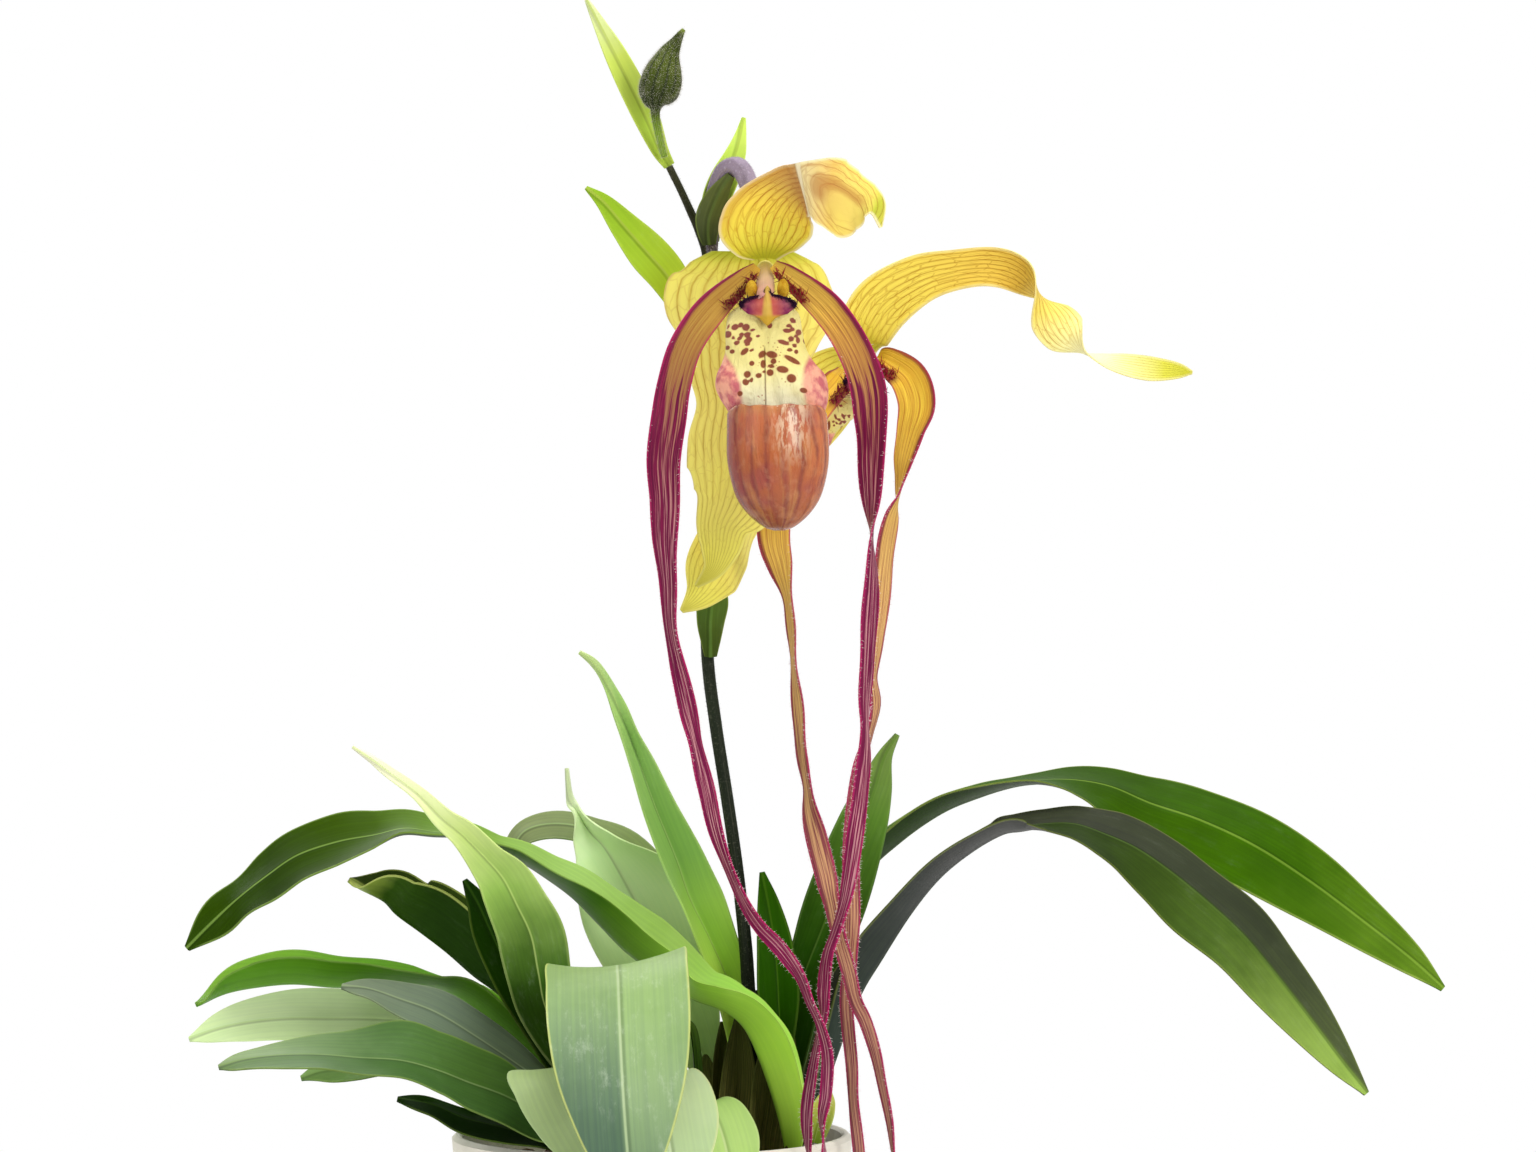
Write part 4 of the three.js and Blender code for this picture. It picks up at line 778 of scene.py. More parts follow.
def chip_tree(name, material):
    """Rough flat chips strewn over a surface, lying at all angles."""
    recipe = Recipe(name, ["Spacing", "Chip Size", "Roughness"])
    given, add = recipe.given, recipe.add
    vector = {"data_type": "FLOAT_VECTOR"}
    points = add("GeometryNodeDistributePointsOnFaces", {"distribute_method": "POISSON"},
                 {"Mesh": given["Geometry"], "Distance Min": given["Spacing"],
                  "Density Max": 90000.0, "Seed": given["Seed"]}, "Points")
    chip = add("GeometryNodeMeshIcoSphere", None,
               {"Subdivisions": 3, "Radius": given["Chip Size"]}, "Mesh")
    turn = add("FunctionNodeRandomValue", vector, {0: (-0.5, -0.5, 0), 1: (0.5, 0.5, 6.28)})
    size = add("FunctionNodeRandomValue", vector, {0: (0.6, 0.45, 0.28), 1: (1.25, 0.9, 0.6)})
    stand = add("GeometryNodeInstanceOnPoints", None,
                {"Points": points, "Instance": chip, "Rotation": turn, "Scale": size})
    real = add("GeometryNodeRealizeInstances", None, {"Geometry": stand})
    noise = add("ShaderNodeTexNoise", None, {"Scale": 170.0}, "Color")
    shift = add("ShaderNodeVectorMath", {"operation": "SUBTRACT"}, {0: noise, 1: (0.5, 0.5, 0.5)})
    amount = add("ShaderNodeVectorMath", {"operation": "SCALE"},
                 {0: shift, "Scale": given["Roughness"]})
    bent = add("GeometryNodeSetPosition", None, {"Geometry": real, "Offset": amount})
    return recipe.end(bent, material)


def grown(host, tree, name, inputs):
    """The plain mesh that a tree of geometry nodes makes on the host's own mesh."""
    helper = shown(name + "_helper", host.data)
    modifier = helper.modifiers.new(name, "NODES")
    modifier.node_group = tree
    for item in tree.interface.items_tree:
        if item.in_out == "INPUT" and item.name in inputs:
            modifier[item.identifier] = inputs[item.name]
    graph = bpy.context.evaluated_depsgraph_get()
    mesh = bpy.data.meshes.new_from_object(helper.evaluated_get(graph), depsgraph=graph)
    mesh.name = name
    bpy.data.objects.remove(helper)
    return shown(name, mesh)


def hairs(host, name, material, mask, density, length, thickness, lean, seed):
    """Hairs on a piece, with their length and thickness in millimetres.

    Density is their number on a square millimetre where mask is 1, and lean is how far they stray
    from upright.
    """
    layer = host.data.attributes.new(HAIR_MASK, "FLOAT", "POINT")
    layer.data.foreach_set("value", np.asarray(mask, float) * np.ones(len(host.data.vertices)))
    inputs = {"Density": density * PER_SQUARE_MM, "Length": length * MM,
              "Thickness": thickness * MM, "Lean": lean, "Seed": seed}
    thing = grown(host, bristle_tree(name + "_tree", material), name, inputs)
    host.data.attributes.remove(host.data.attributes[HAIR_MASK])
    return thing


def settle(thing, node=None):
    """Makes the piece ride with the plant and hides the part that it stands for."""
    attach(thing, "root")
    if node:
        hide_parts(node)


# ---------------------------------------------------------------- sizes, in millimetres

# A row of a blade is [x, y, z, width, turn, fold] and, for some, its slant; a row of a rod is
# [x, y, z, radius].
LEAF_THICK = 1.1
BRACT_THICK = 1.0
PETAL_THICK = 0.8
MIX_TOP = 99.0
GROWTH_FOOT = 84.0
WRAP_THICK = HUSK_THICK = 0.8
OVARY_PLUMPNESS = 1.3
# Where the upper sepal of the front flower folds, and the hollow of its hood, along the blade.
HOOD_FOLD, HOOD_BOWL = 33.6, 48.0

# A leaf that starts above this height also wraps down towards the middle of its own growth.
CLASP_ABOVE = 112
BETWEEN_GROWTHS = 12
RIGHT_GROWTH, LEFT_GROWTH = (32, 6, 100), (-10, -2, 100)

LEAVES = {
    "leaf_right_upper": [
        [47, 14, 116, 11, -60, 50], [49, 21, 130, 14, -70, 45], [51, 27, 146, 17, -78, 40],
        [56, 32, 166, 21, -84, 32], [64, 34, 185, 24.5, -87, 26], [75, 34, 196, 26, -92, 22],
        [88, 34, 205, 28, -92, 18], [100, 34, 210, 29, -92, 12], [110, 34, 213, 30, -92, 6],
        [118, 34, 214, 31, -88, 4], [129, 34, 214, 33, -76, 0], [140, 34, 212, 34, -64, -6],
        [152, 33, 207, 34, -52, -10], [167, 32, 202, 33, -44, -12], [184, 31, 194, 31, -38, -8],
        [201, 30, 183, 26, -34, -5], [217, 29, 171, 19, -32, -3], [231, 28, 160, 11, -32, 0],
        [241, 27, 151, 2, -32, 0],
    ],
    "leaf_right_lower": [
        [47, -4, 108, 11, -50, 50], [51, -4, 122, 15, -64, 46], [56, -3, 137, 19, -80, 42],
        [62, -2, 152, 24, -84, 44], [68, -1, 162, 27, -94, 38], [77, 0, 176, 29, -96, 24],
        [86, 1, 187, 29, -96, 16], [96, 2, 195, 30, -94, 14], [105, 3, 200, 31, -94, 12],
        [111, 4, 201, 32, -88, 10], [118, 4, 202, 33, -82, 6], [127, 3, 202, 33, -74, 4],
        [136, 2, 199, 34, -68, 4], [145, 1, 195, 34, -62, 0], [154, -1, 189, 34, -54, -4],
        [164, -3, 181, 33, -48, -8], [176, -6, 170, 31, -46, -4], [186, -8, 158, 27, -44, -4],
        [196, -10, 145, 20, -42, -2], [205, -11, 133, 12, -40, 0], [213, -12, 123, 2, -40, 0],
    ],
    "leaf_right_upright": [
        [41, 10, 137, 14, 20, 40], [44, 12, 152, 17, 18, 34], [51, 15, 170, 21, 14, 28],
        [57, 16, 185, 20, 10, 22], [63, 14, 201, 16, 4, 16], [67, 15, 212, 11, 0, 10],
        [70, 15, 222, 5, 0, 5], [74, 15, 229, 1.5, 0, 0],
    ],
    "leaf_right_short": [
        [38, 0, 137, 12, 0, 45], [38, 1, 150, 15, 0, 35], [37, 2, 165, 12, 0, 25],
        [35, 3, 178, 7, 0, 12], [33, 3, 188, 1.5, 0, 0],
    ],
    "leaf_right_young": [
        [48.5, -13, 108.5, 6, 0, 34], [50.5, -13, 116, 8, 0, 28], [52, -13, 121, 6, 0, 18],
        [53, -13, 124, 1.5, 0, 0],
    ],
    "leaf_tall": [
        [26, 18, 138, 13, 12, 44], [23, 18, 153, 18, 10, 50], [17, 17, 167, 21, 16, 54],
        [11, 16, 179, 22, 28, 50], [7, 15, 191, 20, 18, 48], [1, 14, 206, 15.5, 14, 48],
        [-4, 13, 220, 12, 12, 50], [-8, 12, 231, 8, 4, 50], [-12, 11, 241, 4, 10, 18],
        [-15, 10, 247, 2.8, 0, 10], [-18, 9, 251, 2.4, 0, 5], [-22, 8, 254, 1.2, 0, 0],
    ],
    "leaf_broad": [
        [16, 25, 128, 14, 0, 44], [10, 27, 144, 25, 2, 34], [2, 29, 161, 36, -2, 26],
        [-4, 31, 175, 38, -2, 20], [-10, 33, 186, 34, -8, 38], [-15, 34, 194, 26, -18, 50],
        [-20, 35, 199, 16, -12, 56], [-24, 35, 205, 6, 4, 66], [-26, 35, 209, 2.4, 0, 4],
        [-27, 35, 218, 1.2, 0, 0],
    ],
    "leaf_back_arch": [
        [15, 35, 130, 12, 0, 42], [10, 39, 151, 18, 20, 32], [1, 43, 175, 20, 40, 24],
        [-9, 46, 191, 18, 52, 14], [-20, 47, 198, 16, 60, 0], [-31, 48, 200, 15, 60, 0],
        [-40, 48, 198, 13, 58, -2], [-44, 47, 192, 11, 54, 0], [-47, 46, 183, 1.5, 50, 0],
    ],
    "leaf_long_left": [
        [41, -16, 106, 16, 86, 26], [38, -18, 119, 21, 90, 50], [33, -19, 134, 24, 86, 58],
        [28, -18, 144, 26, 90, 40], [21, -15, 149, 28, 88, 28], [12, -11, 152, 29, 86, 34],
        [3, -7, 158, 31, 82, 40], [-7, -5, 165, 32, 80, 44], [-15, -4, 173, 32, 82, 36],
        [-23, -3, 181, 30, 84, 26], [-31, -3, 187, 29, 86, 18], [-39, -3, 192, 28, 86, 16],
        [-47, -4, 195, 27, 88, 14], [-56, -4, 199, 27, 86, 10], [-65, -4, 200, 27, 82, 10],
        [-74, -3, 201, 27, 76, 10], [-83, -2, 199, 27, 68, 8], [-94, -1, 197, 27, 58, 6],
        [-106, 0, 193, 27, 56, 2], [-115, 1, 187, 26, 58, 0], [-124, 2, 180, 20, 58, 0],
        [-133, 3, 172, 11, 22, 4], [-140, 4, 165, 2, 20, 0],
    ],
    "leaf_pale_rising": [
        [-11, -7, 114, 10, 0, 46], [-17, -8, 124, 12, 8, 46], [-25, -14, 136, 18, 10, 44],
        [-31, -20, 149, 21, 8, 40], [-33, -24, 160, 23, 4, 36], [-35, -26, 171, 24, 2, 34],
        [-39, -28, 180, 22, 4, 36], [-43, -29, 188, 19, 2, 36], [-48, -30, 194, 14, -2, 38],
        [-55, -31, 201, 11, 10, 42], [-61, -32, 206, 8, 8, 40], [-68, -33, 213, 5, 18, 32],
        [-76, -33, 219, 3.6, 16, 24], [-81, -34, 223, 2.4, 0, 8], [-87, -34, 227, 1.2, 0, 0],
    ],
    "leaf_left_dark": [
        [-25, -6, 127, 10, 0, 42], [-32, -10, 142, 13, 0, 34], [-40, -16, 156, 13, 0, 28],
        [-47, -18, 171, 12, 0, 22], [-51, -19, 180, 7, 0, 12], [-55, -20, 187, 1.5, 0, 0],
    ],
    "leaf_left_tip": [
        [-18, 0, 116, 12, 70, 50], [-30, -2, 133, 18, 92, 46], [-43, -3, 150, 25, 90, 52],
        [-53, -3, 158, 31, 88, 54], [-61, -3, 165, 33, 86, 62], [-69, -2, 171, 33, 88, 62],
        [-76, -1, 176, 31, 86, 52], [-80, 0, 180, 25, 84, 48], [-86, 1, 183, 14, 68, 32],
        [-91, 1, 186, 1.5, 60, 0],
    ],
    "leaf_left_high": [
        [-19, 15, 114, 11, 64, 50], [-27, 15, 122, 15, 90, 40], [-36, 15, 130, 19, 90, 44],
        [-46, 15, 139, 22, 92, 42], [-56, 16, 148, 24, 94, 32], [-64, 17, 152, 26, 94, 14],
        [-74, 17, 153, 28, 92, 20], [-85, 17, 153, 30, 92, 28], [-97, 17, 153, 30, 90, 32],
        [-109, 17, 154, 30, 90, 34], [-120, 18, 153, 27, 88, 34], [-130, 18, 151, 18, 82, 30],
        [-139, 18, 147, 1.5, 70, 0],
    ],
    "leaf_left_band": [
        [-27, -2, 115, 11, 64, 48], [-37, 0, 123, 17, 66, 4], [-48, 0, 131, 21, 68, 6],
        [-61, 0, 139, 24, 68, 6], [-73, 0, 143, 25, 64, 8], [-85, 0, 144, 26, 60, 4],
        [-97, 1, 144, 26, 58, 6], [-109, 1, 144, 25, 58, 8], [-120, 1, 143, 22, 58, 6],
        [-130, 1, 141, 14, 56, 6], [-139, 1, 138, 1.5, 50, 0],
    ],
    "leaf_left_grey": [
        [-18, -16, 114, 10, 50, 46], [-23, -20, 119, 12, 70, 4], [-29, -23, 125, 15, 70, 2],
        [-37, -25, 131, 19, 68, 6], [-50, -26, 140, 22, 64, 6], [-63, -26, 148, 22, 60, 4],
        [-74, -25, 152, 18, 64, 4], [-83, -25, 155, 12, 68, 4], [-91, -25, 156, 1.5, 50, 0],
    ],
    "leaf_front_left": [
        [-15, -25, 110, 10, 70, 44], [-20, -31, 114, 14, 78, 0], [-25, -38, 117, 19, 72, 0],
        [-32, -43, 120, 24, 64, 0], [-42, -49, 126, 28, 60, 6], [-52, -52, 130, 30, 60, 10],
        [-61, -56, 134, 31, 62, 12], [-71, -59, 137, 31, 64, 16], [-83, -61, 138, 29, 68, 10],
        [-94, -62, 139, 25, 72, 6], [-105, -63, 139, 20, 74, 2], [-115, -64, 138, 13, 70, 0],
        [-123, -64, 136, 1.5, 50, 0],
    ],
    "leaf_left_low": [
        [-24, -10, 110, 10, 70, 44], [-31, -14, 114, 15, 74, 0], [-44, -22, 121, 17, 76, 2],
        [-59, -28, 128, 18, 82, 6], [-73, -32, 132, 18, 80, 8], [-85, -34, 132, 16, 72, 4],
        [-95, -35, 132, 10, 60, -4], [-102, -36, 130, 1.5, 50, 0],
    ],
    "leaf_left_under": [
        [-14, -23, 104, 9, 70, 44], [-18, -30, 106, 12, 82, 2], [-26, -36, 110, 14, 78, 4],
        [-34, -40, 113, 17, 78, 4], [-43, -43, 116, 18, 74, -2], [-54, -45, 119, 17, 72, -4],
        [-63, -46, 123, 12, 72, -4], [-73, -46, 125, 1.5, 50, 0],
    ],
    "leaf_front_corner": [
        [-8, -21, 110, 10, 8, 46], [-13, -29, 120, 14, 8, 36], [-19, -43, 130, 24, 14, 24],
        [-23, -60, 136, 34, 22, 14], [-21, -74, 133, 34, 12, 10], [-17, -82, 126, 31, 6, 8],
        [-12, -86, 118, 25, 0, 6], [-8, -88, 111, 15, 0, 4], [-6, -89, 105, 2, 0, 0],
    ],
    "leaf_front": [
        [-7, -6, 117, 12, 0, 46], [-8, -13, 132, 18, 3, 38], [-8, -28, 149, 23, 6, 24],
        [-9, -45, 163, 40, 8, 10], [-8, -70, 160, 41.5, 8, 9], [-7, -88, 149, 41, 5, 9],
        [-6, -99, 136, 37, 3, 8], [-5, -106, 124, 29, 0, 8], [-4, -110, 114, 20, 0, 6],
        [-3, -112, 105, 10, 0, 4], [-3, -113, 99, 2, 0, 0],
    ],
    "leaf_front_low": [
        [2, -15, 111, 10, 0, 46], [3, -28, 122, 14, 0, 36], [2, -46, 129, 24, 0, 22],
        [4, -64, 127, 30, 0, 12], [6, -77, 119, 30, 0, 10], [8, -84, 109, 20, 0, 6],
        [10, -87, 100, 2, 0, 0],
    ],
    "leaf_front_round": [
        [10, -8, 109, 8, 0, 44], [13, -18, 116, 11, 0, 34], [16, -31, 121, 14, 0, 22],
        [19, -45, 120, 19, 0, 16], [22, -60, 114, 21, 0, 12], [24, -66, 105, 14, 0, 6],
        [25, -67, 97, 2, 0, 0],
    ],
    "leaf_curled": [
        [12, 0, 114.5, 5, 60, 30], [13.5, -4, 124.5, 4, 50, 25], [13.5, -8, 134, 3, 40, 20],
        [12.5, -12, 142, 2.4, 30, 15], [10, -15, 145.5, 1.2, 20, 0],
    ],
}
# The headings of the leaves that arch towards the front.
HEADINGS = {"leaf_front_corner": -100, "leaf_front": -90, "leaf_front_low": -84,
            "leaf_front_round": -72}
BRACTS = {
    "bract_low": [
        [17.5, 6.5, 252.5, 5, 0, -45], [17.5, 6, 257, 8, 0, -45], [17.5, 6, 263, 11, 0, -42],
        [18, 5.5, 269, 12, 0, -38], [18, 5, 275, 8, 0, -30], [18.5, 5, 281, 1.2, 0, -20],
    ],
    "bract_middle": [
        [12, 8, 352.5, 7, 0, 25], [9.5, 7, 359, 10, 0, 25], [4.5, 6.5, 367.5, 12.5, 0, 22],
        [-1.5, 6.5, 374.5, 12.8, 0, 20], [-8.5, 6, 382.5, 9, 0, 15], [-14.5, 6, 389.5, 5, 0, 10],
        [-20, 6, 394, 1.2, 0, 0],
    ],
    "bract_front_flower": [
        [18, 7.5, 377.5, 6, 0, 50], [18, 8, 383, 9, 0, 50], [19, 8, 389.5, 11.5, 0, 46],
        [22, 7, 396.5, 11, -5, 40], [25, 6, 404, 7, 0, 28], [26.5, 5, 409.5, 3.6, 0, 15],
        [27.5, 5, 415, 1.2, 0, 0],
    ],
    "bract_bud": [
        [5, 13, 401, 4.4, 0, 45], [2, 13, 406, 7, 0, 45], [-1.5, 12.5, 414.5, 9.5, 0, 40],
        [-6, 12, 424, 9.5, 0, 36], [-11, 11, 434, 7.5, 0, 28], [-16, 10, 443.5, 4, 0, 15],
        [-20, 9, 451, 1.2, 0, 0],
    ],
}
# The small dark scrap that wraps the foot of the front flower's bract.
BRACT_WRAP = [
    [17.2, 0.6, 376.3, 4.6, 0, -35], [16.8, 0.2, 380.2, 7.8, 0, -35],
    [17.2, -0.4, 384.4, 9.6, 0, -30], [18.9, -1.6, 388.9, 8.8, 0, -28],
    [21, -3.6, 393.1, 5.6, 0, -28], [23.7, -5.5, 396.7, 2.6, 0, -20],
]
SEPALS = {
    "dorsal_sepal_1": [
        [34, -26, 371, 8, 0, 18, 0], [34, -30, 374.75, 20, 0, 22, 10],
        [34.75, -35, 379.5, 29, 0, 22, 16], [36, -38, 382.75, 29.5, 0, 20, 21],
        [38, -40.5, 385.5, 27, 0, 18, 25], [40.25, -43, 387.5, 22.5, 3, 15, 24],
        [42.5, -46, 388.75, 18.5, 8, 11, 21], [44.5, -49, 389, 17, 12, 7, 22],
        [46.5, -52, 388.75, 17, 14, 3, 22], [49.5, -54.5, 387.75, 19.5, 12, -3, 19],
        [53, -56.5, 386.75, 22.5, 8, -9, 13], [56.25, -58, 386, 23, 2, -14, 6],
        [60, -59.5, 385.75, 18, -6, -13, 5], [64, -61, 385.25, 11.5, -22, -6, 12],
        [66.5, -62, 383, 7, -34, 0, 23], [67.25, -62, 377.25, 1.2, -40, 0, 18],
    ],
    "dorsal_sepal_2": [
        [64, 22, 344, 6, 0, 10], [64, 18, 350, 16, 0, 18], [69, 16, 359, 18.5, 0, 14],
        [80, 14, 366.5, 15.5, 0, 10], [91, 13, 369.5, 12.5, 0, 8], [102, 12, 370.5, 12, 0, 8],
        [110, 11, 368.5, 12.5, 30, 6], [115.5, 10, 363.5, 15, 80, 5],
        [120.5, 9, 356.5, 17.5, 140, 8], [124.5, 8, 349.5, 13, 190, 6],
        [130, 8, 344.5, 6, 262, 4], [136, 8, 342, 6.5, 305, 4], [143, 8, 340.5, 7.6, 335, 6],
        [150.5, 9, 339.5, 7.6, 350, 6], [158.5, 10, 339, 5, 357, 4],
        [163, 11, 338.5, 1.2, 360, 0],
    ],
    "synsepal_1": [
        [30, -22, 373, 24, 0, -4], [30, -21.5, 369.5, 37, 0, -8], [30, -20.5, 365, 46, 0, -11],
        [29.5, -19, 359.5, 52, 0, -12], [29, -17.5, 353, 51, 0, -13],
        [28.5, -16, 346, 43, 0, -14], [27.5, -14, 338, 35, 0, -15], [27.5, -13, 328, 29, 0, -15],
        [27, -13, 317.5, 33, 0, -14], [27, -13, 307, 33.5, 0, -14],
        [24.5, -13, 298.5, 25.5, 0, -12], [21.5, -13, 292, 17, 0, -11],
        [20.5, -13.5, 285, 12, 0, -8], [18.5, -14.5, 279, 6.5, 0, -4],
        [13.5, -15, 274, 1.5, 0, 0],
    ],
    "synsepal_2": [
        [63.5, 28.5, 342, 7, 0, 0], [58, 30, 339, 19, 0, -8], [49, 32, 330.5, 26, -6, -12],
        [40.5, 31, 320, 27, -20, -12], [32.5, 27, 308, 26, -40, -12],
        [27, 18, 296.5, 24, -48, -10], [23, 6, 286.5, 22, -36, -10],
        [18.5, -2, 278.5, 19, -18, -8], [14.5, -6, 271.5, 10, -4, -4], [9, -8, 266.5, 1.5, 0, 0],
    ],
}
PETALS = {
    "petal_1_left": [
        [31.5, -36, 367.5, 3, 10, 10], [27.5, -38.5, 363.5, 6.4, 8, 15],
        [18, -42, 354.5, 9.5, 0, 14], [11, -46, 344, 9.8, 0, 12], [7.5, -48, 332.5, 10, 0, 10],
        [6, -49, 322.5, 10.4, 0, 8], [4.5, -50, 310.5, 10, 0, 8], [5, -50, 299, 9, 10, 8],
        [5, -50, 287.5, 8, 20, 6], [6, -50, 275.5, 6.5, 40, 5], [6.5, -50, 263.5, 6, 48, 5],
        [8.5, -50, 252.5, 5.6, 42, 5], [11, -50, 241, 5.5, 5, 4], [13.5, -50, 229, 5.2, -40, 4],
        [17, -50, 215, 5, -5, 4], [20.5, -51, 200.5, 4.8, 38, 4], [27, -52, 184.5, 4.5, 52, 4],
        [32, -53, 176, 4.4, 30, 4], [38.5, -54, 169, 4.4, 5, 4], [44, -55, 161.5, 4.2, 45, 4],
        [47, -56, 154, 4, 50, 4], [50, -57, 147.5, 3.8, 52, 4], [52, -56, 138.5, 3.8, 30, 4],
        [51.5, -55, 127.5, 3.6, 0, 4], [50.5, -54, 119.5, 3.4, 60, 4],
        [51, -53, 110.5, 3.2, 110, 4], [51.5, -52, 100.5, 3, 170, 3],
        [50.5, -51, 92, 2.4, 200, 2], [51.5, -50, 84.5, 1.2, 220, 0],
    ],
    "petal_1_right": [
        [36.5, -36, 368, 3.4, -10, 10], [41, -38.5, 364.5, 6.6, -8, 15],
        [50.5, -42, 356.5, 9.5, 0, 14], [57, -46, 348, 10, 0, 12], [61.5, -48, 339, 10.3, 0, 10],
        [64, -49, 330.5, 10.6, 0, 8], [65, -50, 319.5, 10, 28, 8], [65, -50, 309, 9.2, 32, 8],
        [65, -50, 297.5, 8, 58, 6], [65, -50, 288.5, 7, 88, 5], [65, -50, 276, 6.6, 130, 5],
        [64, -49, 257, 6, 140, 5], [63, -49, 241, 5.6, 124, 4], [63, -49, 232.5, 5.5, 120, 4],
        [62.5, -48, 221, 5.3, 140, 4], [60.5, -48, 204.5, 5.1, 172, 4],
        [57.5, -48, 184.5, 4.7, 222, 4], [54.5, -47, 174, 4.4, 232, 4],
        [52, -47, 166.5, 4.2, 230, 4], [51, -46, 156.5, 4, 200, 4],
        [51, -46, 149.5, 3.8, 235, 4], [49.5, -46, 142.5, 3.6, 245, 4],
        [47.5, -46, 132, 3.6, 215, 4], [46, -46, 121.5, 3.6, 190, 4],
        [46.5, -46, 110.5, 3.3, 240, 4], [47.5, -46, 101.5, 3, 290, 3],
        [46, -46, 93, 2.2, 330, 2], [46.5, -46, 87, 1.2, 350, 0],
    ],
    "petal_2_left": [
        [58, 17, 339, 5, 10, 10], [55.5, 6, 335, 9, 10, 12], [48.5, -2, 326.5, 10, 5, 10],
        [42.5, -5, 315.5, 10, 0, 8], [37.5, -6, 302, 10, 0, 8], [36.5, -7, 289.5, 10, 5, 6],
        [38.5, -8, 280, 8.5, 30, 5], [41, -9, 270, 7, 65, 5], [42, -10, 259, 6.4, 70, 4],
        [43, -12, 246.5, 6, 70, 4], [44, -13, 235, 5.8, 50, 4], [45, -14, 224, 5.6, 60, 4],
        [46.5, -16, 215, 5.6, 62, 4], [47.5, -17, 207, 6, 38, 4], [49.5, -19, 198, 6.6, 5, 4],
        [52, -21, 188, 6.4, 0, 4], [53.5, -23, 181.5, 5.8, 35, 4], [56, -25, 170, 5, 30, 4],
        [58.5, -28, 161, 4.6, 20, 4], [60.5, -32, 152.5, 4.2, 15, 4], [63.5, -33, 146, 4, 10, 4],
        [66.5, -34, 136.5, 3.7, 25, 4], [68.5, -34, 127, 3.3, 40, 4], [70.5, -34, 117, 3, 45, 4],
        [71.5, -34, 108.5, 2.6, 70, 3], [72.5, -34, 100, 2.2, 110, 2],
        [73, -34, 93, 1.2, 130, 0],
    ],
    "petal_2_right": [
        [68, 15, 343, 6, -10, 12], [71, 9, 341.5, 9.5, -15, 14], [77, 5, 336.5, 12, -10, 14],
        [79.5, 4, 328.5, 11.5, 0, 12], [78, 3, 320.5, 9.5, 30, 10], [76, 2, 312.5, 8.5, 42, 8],
        [75, 2, 306, 7.6, 68, 6], [74, 1, 301, 7, 92, 5], [72, 0, 294.5, 6.6, 130, 5],
        [70, -1, 284, 6.4, 150, 4], [68.5, -3, 269, 6, 160, 4], [67, -5, 257.5, 5.8, 150, 4],
        [66, -7, 247.5, 5.6, 120, 4], [67, -8, 239, 5.4, 130, 4], [65, -10, 229.5, 5.2, 110, 4],
        [62, -12, 220, 5.2, 140, 4], [60.5, -14, 207.5, 5.2, 165, 4],
        [59.5, -16, 195.5, 5.2, 180, 4], [59.5, -17, 185.5, 5.2, 190, 4],
        [59.5, -19, 175.5, 5.2, 185, 4], [59, -21, 163.5, 4.8, 210, 4],
        [58, -23, 152, 4.2, 200, 4], [58.5, -25, 143, 4, 190, 4],
        [59.5, -27, 132.5, 3.8, 200, 4], [60, -29, 121.5, 3.6, 215, 4],
        [61.5, -30, 108, 3.6, 190, 4], [62, -31, 98.5, 3, 240, 3], [61, -31, 90, 2.2, 280, 2],
        [62, -31, 83, 1.2, 300, 0],
    ],
}
STEM_FOOT = [30, 7, 100, 2.4]
FLOWER_STEM = [
    [30, 5, 137.5, 2.2], [29, 6, 151, 2.1], [28, 7, 166, 2], [25.5, 9, 188.5, 1.9],
    [22.5, 10, 209.5, 1.9], [19, 11, 232, 1.9], [16.5, 12, 253, 1.9], [16, 12.5, 282, 1.9],
    [16, 13, 315, 1.8], [16, 13, 347, 1.8], [16.5, 13, 363.5, 1.8], [16.5, 13, 374, 1.7],
    [14, 13, 381.5, 1.4], [11.5, 12.6, 387, 1.2], [8.5, 11, 393.5, 1.1], [5, 9, 400.5, 1.1],
]
OVARIES = {
    "ovary_1": [
        [18, 3.8, 374, 1.2], [18, 3.6, 382.5, 1.6], [19, 1.8, 391.5, 2], [21.5, -1, 398, 2.1],
        [25, -4, 399.5, 2.2], [28, -7, 396.5, 2.2], [30.5, -11, 388, 2.2], [32.5, -15, 378, 2.1],
        [33.5, -16.6, 371, 2.2], [34, -18.4, 368.5, 2.3],
    ],
    "ovary_2": [
        [18, 15, 345.5, 1.4], [23, 25, 349.5, 1.7], [34, 39, 355, 2], [46, 46, 357, 2.1],
        [56.5, 46, 353.5, 2.1], [61.5, 40, 348, 2.1], [63, 33, 344, 2.2],
    ],
}
COLUMNS = {
    "column_1": [
        [34, -23.6, 368, 2.4], [34, -32, 365, 2.6], [34, -41, 360.5, 2.7], [34, -49.4, 357, 2.2],
    ],
    "column_2": [
        [63.5, 26.6, 341, 2.2], [63.5, 20, 339.5, 2.3], [64, 12, 337.5, 2.2],
        [64, 2.3, 335.5, 1.8],
    ],
}
BUD = [
    [3.5, 7.5, 403.5, 0.9], [2, 5, 409.5, 1.1], [1, 2, 415, 1.3], [1, 0.5, 417.5, 1.8],
    [1, 0, 419, 4], [1.5, 0, 421.5, 5.8], [2.5, 0, 425, 6.2], [3.5, 0, 429, 5.4],
    [5, 0, 433.5, 3.4], [7, 0, 437, 1.9], [8.5, 0, 439.5, 1.1], [9.5, 0, 441, 0.6],
]
